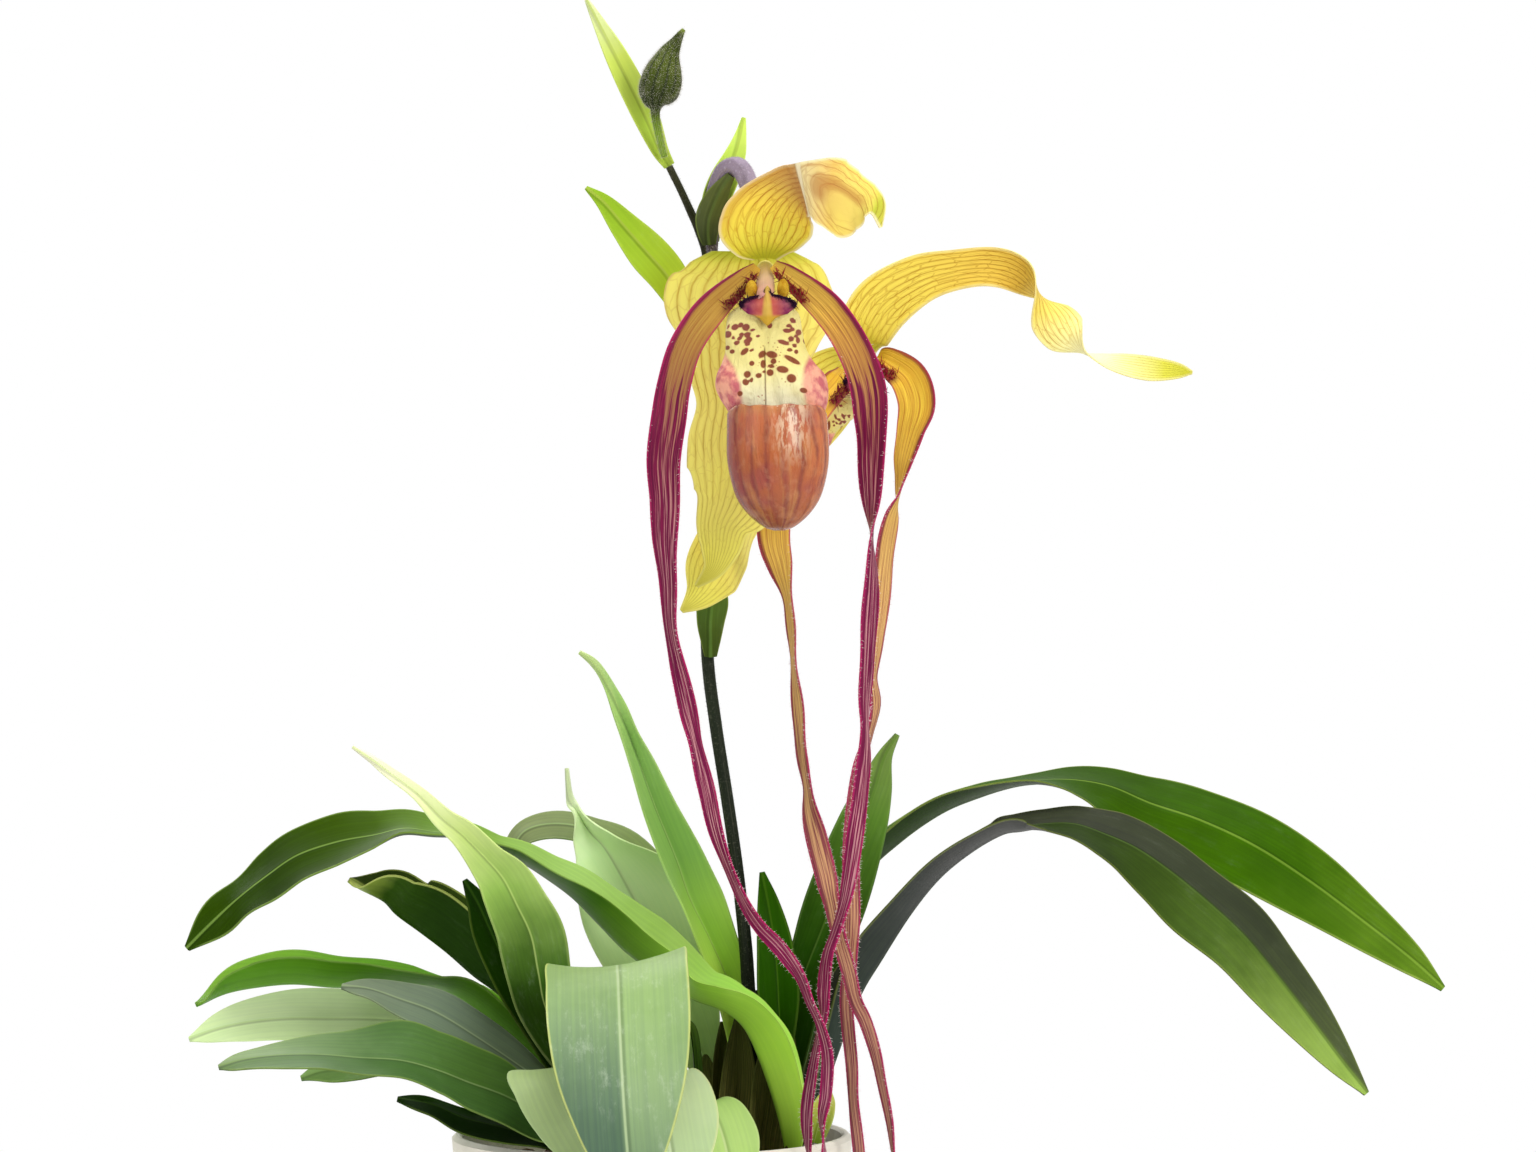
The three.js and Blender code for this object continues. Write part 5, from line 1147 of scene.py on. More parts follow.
# A row of a growth is [foot x, foot y, head x, head y, head z, radius].
GROWTHS = {
    "growth_right": [
        [32, 7, 32, 7, 106, 12], [28, 12, 26, 18, 135, 5], [24, 18, 17.5, 25, 126, 5.5],
        [23, 22, 16, 35, 129, 4], [32, 4, 37.5, 0, 133, 4.2], [36, 9, 40.5, 10, 134, 4.6],
        [30, 9, 29.5, 6, 133, 3.6], [41, 11, 46, 14, 113, 4], [42, 0, 45, -3, 108, 4.5],
        [38, -6, 41, -16, 103.5, 4],
    ],
    "growth_left": [
        [-10, -4, -10, -4, 105, 10], [-9, -4, -8, -6, 114, 5], [-12, -7, -11, -11, 106.5, 4.3],
        [-16, -1, -18, 0, 114.5, 4.5], [-18, 4, -24, 8, 118, 4], [-15, 6, -18, 15, 112.5, 4.5],
        [-5, -8, -1, -16, 106, 4], [-1, -4, 7, -8, 106, 4], [-12, -9, -11, -22, 107, 4],
        [3, -2, 12, 0, 112, 3], [-17, -5, -25, -3, 112, 4], [-17, -8, -19, -16, 106, 3.6],
    ],
}

# The dead outer husks round each growth, as [x, y, head z, width, turn].
HUSKS = {
    "growth_right": [
        [24, 2, 146, 15, 0], [33, -4, 141, 17, 10], [40, 1, 136, 14, -20], [29, 9, 152, 18, 5],
        [19, 15, 142, 14, 20], [36, 12, 148, 15, -10], [26, 20, 140, 15, 15],
        [43, 6, 128, 12, -30],
    ],
    "growth_left": [
        [-10, -9, 120, 15, 0], [-2, -4, 124, 14, -10], [-17, -3, 122, 13, 15],
        [5, 0, 128, 12, -15], [-8, 6, 126, 15, 5],
    ],
}

# Leaf colours: the upper face and the back from base to tip, then the margin and the midrib.
LEAF_COLOURS = {
    "leaf_right_upper": ("24400c 345808 345800 305000 386000 608020", "1c3400 243c04 305008",
                         "a8b860", "7c9c38"),
    "leaf_right_lower": ("182404 182404 202e08 283a0c 445c20 90ac50", "1c3024 404040 3a3c34 303428",
                         "a0ac54", "4c6428"),
    "leaf_right_upright": ("1c3c00 2c5808 5c8430 88a058", "183404 285408 4c7428",
                           "8cac60", "5c8030"),
    "leaf_right_short": ("1c3c00 285400 346404", "183800 244804", "7c9840", "4c7418"),
    "leaf_right_young": ("8ca838 c8cc60 dcdc78", "84a034 b0bc58", "e0e49c", "c0cc70"),
    "leaf_tall": ("d8f860 c8ec68 98c068 94bc68 b0d080 d4e4a4",
                  "d8f860 c4e864 98c068 94bc68 acc880 d4e4a4", "d0e498", "a4c070"),
    "leaf_broad": ("98b070 c0dc94 dcf4b8 e4fcc4 e0f0c4 ecf4d0",
                   "a0b478 c0dc94 dcf4b8 e4fcc4 e0f0c4", "d0dca0", "dcecb8"),
    "leaf_back_arch": ("647840 70844c 788658 808a60", "647840 6c8448 6c8448", "a8bc84", "90a870"),
    "leaf_long_left": ("b0e04c a4d858 94b858 98bc64 74983c 3c5800 284000 304c00",
                       "bcec50 acdc54 508018 305000 2c4800 284000", "a8c468", "88a850"),
    "leaf_pale_rising": ("142408 20380c 4c7428 a4c468 d0e094 e8f0b8 fcf8e0",
                         "142808 284410 64883c b4cc78 dce8a8 f4f4cc", "d8e498", "c8dc84"),
    "leaf_left_dark": ("2c500c 204004 183804", "14300a 14300a", "8ca448", "3c6018"),
    "leaf_left_tip": ("88a84c b4cc58 dce878 e8f488", "142c0c 1c3a0c 203c0c 24400c 2c480c c8dc68",
                      "dce884", "5c7c28"),
    "leaf_left_high": ("5c8820 54880c 60981c 78a438", "447010 548818", "b0c878", "6c983c"),
    "leaf_left_band": ("7c945c 8ca470 acc48c c4d8a4 d8ecb4", "7c945c 8ca470 acc48c c4d8a4",
                       "cce0a0", "b4cc8c"),
    "leaf_left_grey": ("4c6438 647454 70806c 808c74", "3c5424 4c6038 606c54", "a8b888", "98a880"),
    "leaf_front_left": ("70844c 4c6c34 446428 4c6c38 70885c 8ca074", "283c14 385024 445c2c",
                        "a8bc64", "7c945c"),
    "leaf_left_low": ("486828 547838 6c9048 7c9c58", "284c10 305414 3c5c20", "a0b868", "7c9c58"),
    "leaf_left_under": ("244010 284410 1c380a 203c08", "182c08 18340a", "8ca04c", "40601c"),
    "leaf_front_corner": ("9cb474 b8cc90 b0c48c a8bc88 a4b888", "90a870 a4bc84",
                          "c4d8a4", "bcd0a0"),
    "leaf_front": ("708c48 88a464 98b074 98b478 90a87c 7c9474 6c7c68", "4c6834 5c7848",
                   "dce080", "b8c8a0"),
    "leaf_front_low": ("c8dcac dcecc0 d8e8b8 c4d8a8 b0c894", "8ca078 a0b488", "e0e4a4", "e0ecc4"),
    "leaf_front_round": ("acc888 b8d880 b4d080 acc878", "54743c 5c7c44", "dce8a8", "c8d49c"),
    "leaf_curled": ("1a2c0c 243c10 344c18 506428", "14200a 20340c", "c0c884", "3c5818"),
}
# How strongly the margin shows, where it is more than a hint.
MARGIN_HINT = 0.22
BRIGHT_MARGINS = {
    "leaf_front": 0.5, "leaf_left_tip": 0.6, "leaf_curled": 0.8, "leaf_right_upper": 0.4,
    "leaf_long_left": 0.35, "leaf_front_low": 0.6,
}
# The leaves with painted shade over one half: which half, its colour, how much of it and where
# along the leaf.
PAINTED_SHADE_HALVES = {
    "leaf_right_lower": (1, "34362c", 0.85, -0.1, 0.0),
    "leaf_front": (-1, "34504c", 0.7, 0.3, 0.75),
    "leaf_pale_rising": (1, "304c10", 0.65, 0.55, 0.3),
    "leaf_left_low": (1, "486830", 0.35, -0.1, 0.0),
    "leaf_front_left": (1, "3c5c2c", 0.5, -0.1, 0.0),
    "leaf_tall": (-1, "68a040", 0.22, -0.1, 0.0),
    "leaf_left_tip": (-1, "24400c", 0.95, -0.1, 0.0),
}
# How much pale scuffing a leaf has, where it is more than a trace.
SCUFF_TRACE = 0.03
SCUFFED = {"leaf_front": 0.3, "leaf_broad": 0.15, "leaf_tall": 0.15, "leaf_pale_rising": 0.12}


# ---------------------------------------------------------------- leaves, stem and flowers


def clasping(rows):
    """A leaf that starts high on its growth also wraps down round it."""
    x, y, z, width, turn, fold = rows[0]
    if z < CLASP_ABOVE:
        return rows
    growth = RIGHT_GROWTH if x > BETWEEN_GROWTHS else LEFT_GROWTH
    foot = [a + (b - a) * 0.6 for a, b in zip((x, y, z), growth)]
    return [foot + [width * 1.05, turn, min(fold + 12, 60)]] + rows


def make_leaves():
    for name, rows in LEAVES.items():
        upper, under, margin, rib = LEAF_COLOURS[name]
        finish = leaf_finish(
            name + "_finish", stops(upper), stops(under), margin, rib,
            BRIGHT_MARGINS.get(name, MARGIN_HINT), PAINTED_SHADE_HALVES.get(name),
            SCUFFED.get(name, SCUFF_TRACE))
        leaf = blade(name + "_blade", clasping(rows), LEAF_THICK, finish, columns=24, per_row=7,
                     heading=HEADINGS.get(name), bow=-0.035, wave=0.35 if len(rows) > 10 else 0.2,
                     waves=len(rows) / 3.1, rib=0.45, soft=0.045)
        settle(leaf, name)


def make_bracts():
    tints = {
        "bract_low": ("44541c 4c6024 587430 60802c", "40501c 4c6420 547028", "64843c"),
        "bract_middle": ("a0b434 b8d03c b0d03c a0c434 98bc34", "8c9830 a0b838 a8c038", "b4c454"),
        "bract_front_flower": ("3c4420 587028 a0bc44 ccec60 d8f470 d0f064",
                               "50602c a0bc44 d0f068 d8f470", "b4c454"),
        "bract_bud": ("b0c450 c4dc5c d0e068 f0f8c8", "a8bc4c bcd454 dcec90", "b4c454"),
    }
    finish = leaf_finish("bract_wrap_finish", stops("3c4428 545c38 606838 6c7444"),
                         stops("3c4828 445030"), "8ca048", "5c7038")
    wrap = blade("bract_wrap", BRACT_WRAP, WRAP_THICK, finish, columns=12, soft=0.2)
    settle(wrap)
    for name, rows in BRACTS.items():
        upper, under, rib = tints[name]
        finish = leaf_finish(name + "_finish", stops(upper), stops(under), "d4e070", rib, 0.2)
        bract = blade(name + "_blade", rows, BRACT_THICK, finish, bow=-0.05, wave=0.15, waves=2,
                      rib=0.2, soft=0.12)
        settle(bract, name)


def make_sepals():
    first = (stops_at("0 e8d830, 0.1 f0e050, 0.22 f0d44c, 0.34 e4c050, 0.46 cca05c, 0.5 f0dca0, "
                      "0.66 ecc868, 0.78 f4d86c, 0.86 e4d060, 0.92 bcc03c, 1 d8cc50"),
             stops("b8a020 c88c20 c07820 b46c28 a46030 c47c3c c48840 b87834 909024"))
    second = (stops("d4c838 f4e060 f4dc5c ecc850 e4bc48 f4dc64 fcf098 fcf8cc f8f0a0 dcd848 c8c430"),
              stops("a89030 c08c20 b87c1c ac7018 a86c1c b87c24 d4b84c e0cc68 c0b038 98982c"))
    lower = (stops("dce050 f0e468 fcf078 fcec7c fcec78 f8ec74 f4e870 e8e060 bcb440"),
             stops("b8a030 c49c30 c49430 c49838 c8a440 c8ac48 bca840 988c30"))
    looks = {
        "dorsal_sepal_1": (*first, "f8ecb8", 11, 0.45, 0.85, HOOD_FOLD, HOOD_BOWL),
        "dorsal_sepal_2": (*second, "f4e8a4", 9, 0.5, 0.6),
        "synsepal_1": (*lower, "f8f4b0", 13, 0.3, 0.2),
        "synsepal_2": (*lower, "f4e898", 10, 0.3, 0.3),
    }
    for name, rows in SEPALS.items():
        finish = sepal_finish(name + "_finish", *looks[name])
        sepal = blade(name + "_blade", rows, PETAL_THICK, finish, columns=36, per_row=10, power=2.0,
                      wave=0.5 if name == "synsepal_1" else 0.25, waves=4, edge=0.5)
        settle(sepal, name)


def make_petals():
    # Painted shade: the left front petal's ramp is the right one's amber, darkened over its gold
    # part.
    amber_in_shade = stops_at("0 dcb040, 0.04 cca444, 0.1 b08840, 0.15 9c7044, 0.2 a86c60, 0.3 cc8c90, "
                   "1 d0949c")
    amber = stops_at("0 f0c850, 0.05 f4cc58, 0.1 e0ac48, 0.16 bc8844, 0.22 b07058, 0.3 cc8c90, "
                     "1 d0949c")
    wine = stops_at("0 941840, 0.1 900c48, 0.2 78083c, 0.4 800844, 0.7 8c0c4c, 1 80104c")
    wine_stripe = stops_at("0 b88838, 0.08 a06c30, 0.14 883c38, 0.25 540828, 1 5c0830")
    gold = stops_at("0 ecc034, 0.12 f0cc48, 0.25 ecc460, 0.4 e0b474, 0.6 d8a478, 1 c08874")
    rose = stops_at("0 a8502c, 0.12 984034, 0.25 9c4444, 0.4 a04c50, 0.6 a04c54, 1 944c58")
    gold_stripe = stops_at("0 c88c28, 0.12 b87828, 0.3 a46444, 0.6 985c54, 1 845058")
    looks = {
        "petal_1_left": (amber_in_shade, wine, wine_stripe, 0.06, 0.19, 0.45),
        "petal_1_right": (amber, wine, wine_stripe, 0.08, 0.21, 0.45),
        "petal_2_left": (gold, rose, gold_stripe, 0.1, 0.5, 0.53),
        "petal_2_right": (gold, rose, gold_stripe, 0.14, 0.5, 0.53),
    }
    down = plain_finish("petal_down_finish", "e8d4cc", "f8ece8", 400.0, 0.7)
    dark = plain_finish("left_bristle_finish", "580424", "a00c3c", 900.0, 0.5)
    red = plain_finish("right_bristle_finish", "6c0824", "b02438", 900.0, 0.5)
    for name, rows in PETALS.items():
        outer, bristle_skin = (-1, dark) if name.endswith("left") else (1, red)
        finish = petal_finish(name + "_finish", *looks[name], outer)
        petal = blade(name + "_blade", rows, PETAL_THICK, finish, columns=20, per_row=9, wave=0.5,
                      waves=13, soft=0.5, edge=0.5)
        across, along, side = read_marks(petal, "blade").T
        margin = (np.abs(across) > 0.93) * np.clip((along - 0.1) * 5, 0, 1)
        settle(hairs(petal, name + "_down", down, margin, density=3.2, length=1.0, thickness=0.07,
                     lean=0.7, seed=3 + len(name)))
        near = (along > 0.018) & (along < 0.062) & (across * -outer > 0.3) & (side > 0)
        settle(hairs(petal, name + "_bristles", bristle_skin, near, density=4.0, length=3.0,
                     thickness=0.18, lean=0.8, seed=9))
        settle(petal, name)


def make_stem():
    skin = stem_finish("stem_finish", stops("181c12 1c2216 20281a 24281a 2c2c1c 343420"), "5c5c4c")
    stem = rod("flower_stem_rod", [STEM_FOOT] + FLOWER_STEM, skin, sides=24, per_row=14)
    down = plain_finish("stem_down_finish", "5c5c50", "8c8c80", 400.0, 0.8)
    upwards = np.clip(read_marks(stem, "blade")[:, 1] * 1.3 - 0.1, 0.15, 1)
    fuzz = hairs(stem, "flower_stem_down", down, upwards, density=3.0, length=0.7, thickness=0.03,
                 lean=0.5, seed=3)
    settle(stem, "flower_stem")
    settle(fuzz)


def make_bud():
    bud = rod("bud_body", BUD, bud_finish(), sides=40, per_row=12, ribs=3, rib_depth=0.035)
    down = plain_finish("bud_down_finish", "b0aca0", "dcd8cc", 400.0, 0.8)
    fuzz = hairs(bud, "bud_down", down, 1.0, density=4.5, length=0.9, thickness=0.04, lean=0.6,
                 seed=7)
    settle(bud, "bud")
    settle(fuzz)


def make_ovaries():
    looks = {
        "ovary_1": "4a4450 74687a 8c7c8c 98889a a090a0 948494 9c8c70",
        "ovary_2": "5c5450 6c6068 746470 7c6c6c 8c8050",
    }
    down = plain_finish("ovary_down_finish", "9c8c98", "c4b8c0", 400.0, 0.8)
    for name, rows in OVARIES.items():
        skin = stem_finish(name + "_finish", stops(looks[name]), "c0b4c4", 0.5)
        rows = [[x, y, z, radius * OVARY_PLUMPNESS] for x, y, z, radius in rows]
        ovary = rod(name + "_rod", rows, skin, sides=30, per_row=14, ribs=6, rib_depth=0.06)
        fuzz = hairs(ovary, name + "_down", down, 1.0, density=5.0, length=0.6, thickness=0.035,
                     lean=0.5, seed=5)
        settle(ovary, name)
        settle(fuzz)


# ---------------------------------------------------------------- the slipper lip and the column

# A row is [z, middle x, half width, front y, back y], from where the lip leaves the column.
POUCH = [
    [-64.3, 4.4, 1.5, -1.5, 1.5], [-63.2, 4.4, 4.5, -4.5, 4.5], [-60, 4.3, 8.5, -8, 8],
    [-55.6, 4.2, 11.8, -11, 10.5], [-50.5, 4.2, 13.6, -13, 12], [-43.9, 4.1, 14.8, -14.4, 12.6],
    [-37, 4, 14.8, -14.6, 12.6], [-30.5, 3.8, 14.5, -14, 12.4],
]
POCKET_MIDDLE = -8.6
POCKET = [
    [-29, 3.8, 10, -4, 3.5], [-34, 4, 10.4, -4.4, 3.5], [-40, 4.1, 10.4, -4.4, 3.5],
    [-47, 4.2, 8, -3.4, 3], [-51, 4.2, 3, -1.8, 2],
]
LOBES = [
    [-44, 4, 10, -2, 9], [-38, 4, 12, -4, 10.2], [-33, 3.9, 13, -6.6, 10.8],
    [-29, 3.6, 14.4, -7, 11.2], [-26, 3, 15.7, -7, 11.2], [-22.5, 2.3, 16.4, -6.8, 11],
    [-18.8, 2, 15.7, -6.2, 10.6], [-15.6, 1.3, 13.6, -4.8, 10], [-11.5, 0.6, 11.8, -3, 10],
    [-6, 0, 11.2, -1.2, 10.6], [-1, 0, 10.2, 2, 11.4], [1.6, 0, 7, 5.5, 13], [3, 0, 4, 10.5, 14.6],
]
# Crimson spots on the front of the lobes: [x, z, width, height, slant].
SPOTS = [
    [-10.7, -4.6, 0.6, 0.7, 0], [-8.4, -5.1, 0.9, 0.7, -20], [-6.7, -4.5, 0.6, 0.6, 0],
    [-5.2, -5.2, 0.9, 0.8, -10], [-3.3, -6.1, 0.7, 0.3, -18], [-10.5, -7.2, 0.9, 0.8, 0],
    [-8.9, -8.2, 0.6, 0.3, 0], [-6.5, -7.4, 0.6, 0.5, -20], [-4.8, -7.4, 0.8, 0.6, -10],
    [-1.7, -7.8, 0.5, 0.3, -10], [-7.1, -8.6, 0.6, 0.4, -20], [-7.9, -9.8, 0.7, 0.5, -10],
    [-4.6, -9.1, 1.1, 0.6, -25], [-4.7, -10.2, 0.7, 0.4, -25], [-10.6, -11.1, 0.6, 0.5, 0],
    [-9.2, -12.3, 0.6, 0.5, 0], [-5.6, -12.4, 1.1, 0.6, -40], [-3.5, -12, 0.6, 0.3, -30],
    [-3.5, -15.9, 0.6, 0.6, -60], [-4.8, -19.1, 0.8, 0.8, -50], [-5.3, -21.4, 0.7, 0.8, -40],
    [-3.6, -20.8, 0.4, 0.6, 15], [-1.5, -19.5, 0.7, 0.6, 0], [-6.9, -24.7, 0.6, 0.6, 0],
    [-0.5, -13.2, 1, 0.7, -45], [2.3, -13.3, 1.3, 0.8, 15], [-0.2, -16.1, 0.6, 1, 0],
    [2.8, -15.3, 0.7, 0.6, 0], [2.1, -16.7, 0.8, 0.4, 12], [-0.1, -18.4, 0.3, 0.4, 0],
    [1.8, -18.6, 0.8, 0.8, 0], [1.7, -4.7, 0.6, 0.7, 0], [8.5, -3.1, 0.8, 0.6, 20],
    [7.3, -4.7, 0.7, 0.4, 0], [6.7, -6.2, 1, 0.5, 5], [8.2, -5.8, 0.7, 0.4, -5],
    [10.1, -6.6, 0.7, 0.7, -30], [9.3, -7.6, 0.6, 0.3, 0], [7.9, -8.6, 0.7, 0.6, 10],
    [9.9, -9, 0.5, 0.7, 0], [11.9, -9, 0.4, 0.7, 0], [5.7, -9.7, 1.5, 0.5, 15],
    [8.9, -10.6, 0.6, 0.4, 10], [7.5, -11.9, 0.7, 0.4, 0], [9.4, -12.4, 0.5, 0.5, 0],
    [8.2, -14.8, 2.1, 0.6, 28], [5.4, -17.7, 1.4, 0.8, 10], [8, -20.3, 1.1, 1, 20],
    [11.5, -23.8, 0.9, 0.6, 15],
]
# Each lip's place: where it leaves the column, its lean and its size; then its points round and
# its rings to a row of the lobes.
LIPS = {
    "lip_1": (([33.6, -47, 354.5], 0, 1.0), 160, 9),
    "lip_2": (([58.8, 10, 330.5], 64, 0.58), 96, 6),
}
# Each shield's place, in the same way.
SHIELDS = {
    "column_1": ([34.6, -48.6, 357], 0, 1.0),
    "column_2": ([64, 3, 335], 12, 0.8),
}
# Half of the shield that closes the column, as [x, z] down its right side.
SHIELD_EDGE = [
    [0.0, 4.4], [0.8, 3.6], [1.2, 1.9], [2.6, 1.5], [4.4, 1.1], [6.4, 0.7], [8.6, -0.9],
    [7.9, -2.3], [5.9, -3.9], [4.2, -4.4], [2.3, -5.2], [1.2, -6.5], [0.0, -7.5],
]
# The shield's rings from its back over its rim to its middle, as [share of the outline, y].
SHIELD_RINGS = [
    [0.999, 0.0], [1.0, -0.5], [0.94, -0.9], [0.8, -1.0], [0.6, -1.15], [0.4, -1.5], [0.2, -1.8],
    [0.02, -1.9],
]


def placed(points, place):
    """Points moved to a place, which is a point, a lean in degrees and a size."""
    at, lean, size = place
    turn = np.array(Matrix.Rotation(math.radians(lean), 3, "Y"))
    return points * size @ turn.T + np.array(at)


def lip_rings(rows, per_row, sides, y_shift=0.0, groove=0.0):
    """Oval rings through the rows, with a groove down the front."""
    value, _ = smooth(rows, (len(rows) - 1) * per_row + 1)
    angle = around(sides)
    rings = []
    for z, middle, half, front, back in value:
        dent = groove * np.exp(-((np.cos(angle) * half / 1.5) ** 2)) * (np.sin(angle) < 0)
        x = middle + half * np.cos(angle)
        y = (front + back) / 2 + (back - front) / 2 * np.sin(angle) + dent + y_shift
        rings.append(np.stack([x, y, np.full(sides, z)], 1))
    return rings


def pouch_rings(sides):
    """The pouch from its toe up to the rolled rim and down again into the pocket."""
    outer = lip_rings(POUCH, 7, sides)
    inner = lip_rings(POCKET, 5, sides, POCKET_MIDDLE)
    angle = around(sides)
    scallop = 0.35 * np.sin(angle * 9 + 0.6) + 0.3 * np.sin(angle * 4)
    brim = []
    for share, height in ((0.12, 0.9), (0.35, 1.5), (0.65, 1.4), (0.9, 0.5)):
        ring = outer[-1] * (1 - share) + inner[0] * share
        ring[:, 2] += height + scallop * (1 - abs(2 * share - 1)) * 0.8
        brim.append(ring)
    return outer + brim + inner


def lobe_rings(per_row, sides):
    """The lobes over the pouch, rippled down their sides."""
    rings = lip_rings(LOBES, per_row, sides, groove=1.3)
    for ring in rings:
        x, y, z = ring.T
        y += 0.5 * np.sin(z * 0.5 + x * 0.35) * (np.abs(x - 2) > 6)
    return rings


def lip_marks(points, skin):
    """How strongly spot, rosy cheek and cream skin show at each point of the lip."""
    x, y, z = points.T
    front = y < 3.5
    spot = np.zeros(len(points))
    for spot_x, spot_z, wide, high, slant in SPOTS:
        a = math.radians(slant)
        u = (x - spot_x) * math.cos(a) - (z - spot_z) * math.sin(a)
        v = (x - spot_x) * math.sin(a) + (z - spot_z) * math.cos(a)
        spot = np.maximum(spot, 1.15 - np.sqrt((u / wide) ** 2 + (v / high) ** 2) * 0.62)
    middle = np.interp(z, [-32, -22, -14, 0], [3.7, 2.2, 1.2, 0])
    reach = np.interp(z, [-36, -27, -22, -17, -12, 0], [11.5, 9.3, 9.0, 10.2, 13, 14])
    cheek = np.clip((np.abs(x - middle) - reach) / 1.2 + 0.5, 0, 1)
    cheek = cheek * np.clip((z + 40) / 5, 0, 1) * np.clip((-9 - z) / 4, 0, 1)
    spot = np.clip(spot, 0, 1) * front * (skin > 0)
    return np.stack([spot, cheek, np.full(len(points), skin)], 1)


def make_lips():
    finish = pouch_finish()
    for name, (place, sides, per_row) in LIPS.items():
        parts = []
        for rings, skin in ((pouch_rings(sides), 0.0), (lobe_rings(per_row, sides), 1.0)):
            own = ring_points(rings)
            marks = {"own_place": own, "lip_marks": lip_marks(own, skin)}
            rings = [placed(ring, place) for ring in rings]
            parts.append(rings_mesh(name + "_part", rings, finish, marks))
        settle(joined(name + "_body", parts), name)


def make_columns():
    top = stem_finish("column_finish", stops("d0c45c dcc07c e4c49c e0b498 d09088"), "e8c0b0", 0.25)
    wings = shield_finish()
    wool = plain_finish("shield_fringe_finish", "1c0420", "340c30", 900.0)
    pad_skin = plain_finish("pad_finish", "b88414", "dcb434", 500.0)
    bristle = plain_finish("pad_bristle_finish", "541c0c", "c89030", 900.0)
    for name, rows in COLUMNS.items():
        place = SHIELDS[name]
        size = place[2]
        column = rod(name + "_rod", rows, top, sides=28, per_row=12)
        shield = make_shield(name, wings, place)
        x, _, z = read_marks(shield, "own_place").T
        wide = np.abs(x)
        rim = read_marks(shield, "rim_share")[:, 0]
        edge = (rim > 0.85) & (wide > 0.9) & (z > -1.0 - 0.15 * wide)
        fringe = hairs(shield, name + "_fringe", wool, edge, density=45.0 / size**2,
                       length=1.9 * size, thickness=0.22, lean=0.9, seed=11)
        settle(column, name)
        settle(shield)
        settle(fringe)
        make_pads(name, place, pad_skin, bristle)


def make_shield(name, finish, place):
    """The two-winged shield on the end of the column, domed along its middle."""
    edge = np.array(SHIELD_EDGE)
    steps = np.linspace(0, len(edge) - 1, 61)
    right = np.stack([np.interp(steps, np.arange(len(edge)), edge[:, i]) for i in (0, 1)], 1)
    left = right[-2:0:-1] * [-0.97, 1.0]
    outline = np.concatenate([right, left])
    middle = np.array([0.0, -1.6])
    rings, reach = [], []
    for share, lift in SHIELD_RINGS:
        x, z = (middle + (outline - middle) * share).T
        curl = 0.018 * x**2 * (share > 0.3)
        keel = -0.7 * np.exp(-((x / 1.2) ** 2)) * (lift < -0.7)
        rings.append(np.stack([x, lift + curl + keel, z], 1))
        reach.append(np.full((len(x), 3), share))
    marks = {"own_place": ring_points(rings),
             "rim_share": np.concatenate(reach + [np.full((2, 3), SHIELD_RINGS[-1][0])])}
    return rings_mesh(name + "_shield", [placed(r, place) for r in rings], finish, marks)


def make_pads(name, place, skin, bristle):
    """The downy yellow pads beside the column, set with dark bristles."""
    size = place[2]
    rng = np.random.default_rng(4)
    u, v = np.meshgrid(around(28), np.linspace(0.02, 0.98, 16) * math.pi)
    for side, label in ((-1, "left"), (1, "right")):
        x = 2.2 * np.sin(v) * np.cos(u) * 0.8 + side * 4.6
        y = 2.2 * np.sin(v) * np.sin(u) + 5.2
        z = 3.0 * np.cos(v) + 3.4 + side * 0.2
        rings = [placed(ring, place) for ring in np.stack([x, y, z], -1)]
        pad = rings_mesh(f"{name}_pad_{label}", rings, skin)
        wild = rng.random(len(pad.data.vertices)) * 0.6 + 0.4
        fuzz = hairs(pad, f"{name}_bristles_{label}", bristle, wild, density=14.0 / size**2,
                     length=0.9 * size, thickness=0.1, lean=0.8, seed=13 + side)
        settle(pad)
        settle(fuzz)


# ---------------------------------------------------------------- growths, bark and pot

HUSK_FOOT = 96
# The mix from the pot's floor up its wall, and then over its top to the middle, as [radius, z].
MIX_SIDE = [[40, 5.6], [41.2, 5.4], [55.2, 98.0]]
MIX_CROWN = [[54.6, 99.0], [50, 99.2], [36, 99.4], [18, 99.4], [2, 99.4]]
# The chips lie at this height, on this share of the mix's radius, so that none meets the pot.
CHIP_BED, CHIP_REACH = 99.2, 0.84
CHIPS = {"Spacing": 0.0052, "Chip Size": 0.0062, "Roughness": 0.005, "Seed": 5}


def sheath_rows(foot_x, foot_y, head_x, head_y, head, radius, foot):
    """A sheath that stands upright in the mix and leans towards its own leaf above it."""
    return [
        [foot_x, foot_y, foot, radius * 0.85],
        [foot_x, foot_y, MIX_TOP + 0.6, radius],
        [(foot_x + head_x) / 2, (foot_y + head_y) / 2, (MIX_TOP + head) / 2, radius * 0.95],
        [head_x, head_y, head, radius * 0.75],
        [head_x * 1.15 - foot_x * 0.15, head_y * 1.15 - foot_y * 0.15, head + 7, radius * 0.1],
    ]


def husk_rows(x, y, head, width, turn):
    """A dead husk from below the top of the mix to its narrow tip."""
    return [
        [x, y, HUSK_FOOT, width, turn, 58],
        [x, y, 108, width * 1.15, turn, 55],
        [x + 0.04 * (head - HUSK_FOOT), y, (104 + head) / 2, width, turn, 45],
        [x + 2, y, head, 1.5, turn, 20],
    ]


def make_growths():
    husk = husk_finish()
    for name, sheaths in GROWTHS.items():
        parts = []
        for i, row in enumerate(sheaths):
            rows = sheath_rows(*row, GROWTH_FOOT + 0.7 * i)
            parts.append(rod(f"{name}_{i}", rows, husk, sides=36, per_row=9, ribs=7,
                             rib_depth=0.035))
        for i, row in enumerate(HUSKS[name]):
            parts.append(blade(f"{name}_husk_{i}", husk_rows(*row), HUSK_THICK, husk, bow=-0.08))
        settle(joined(name + "_sheaths", parts), name)


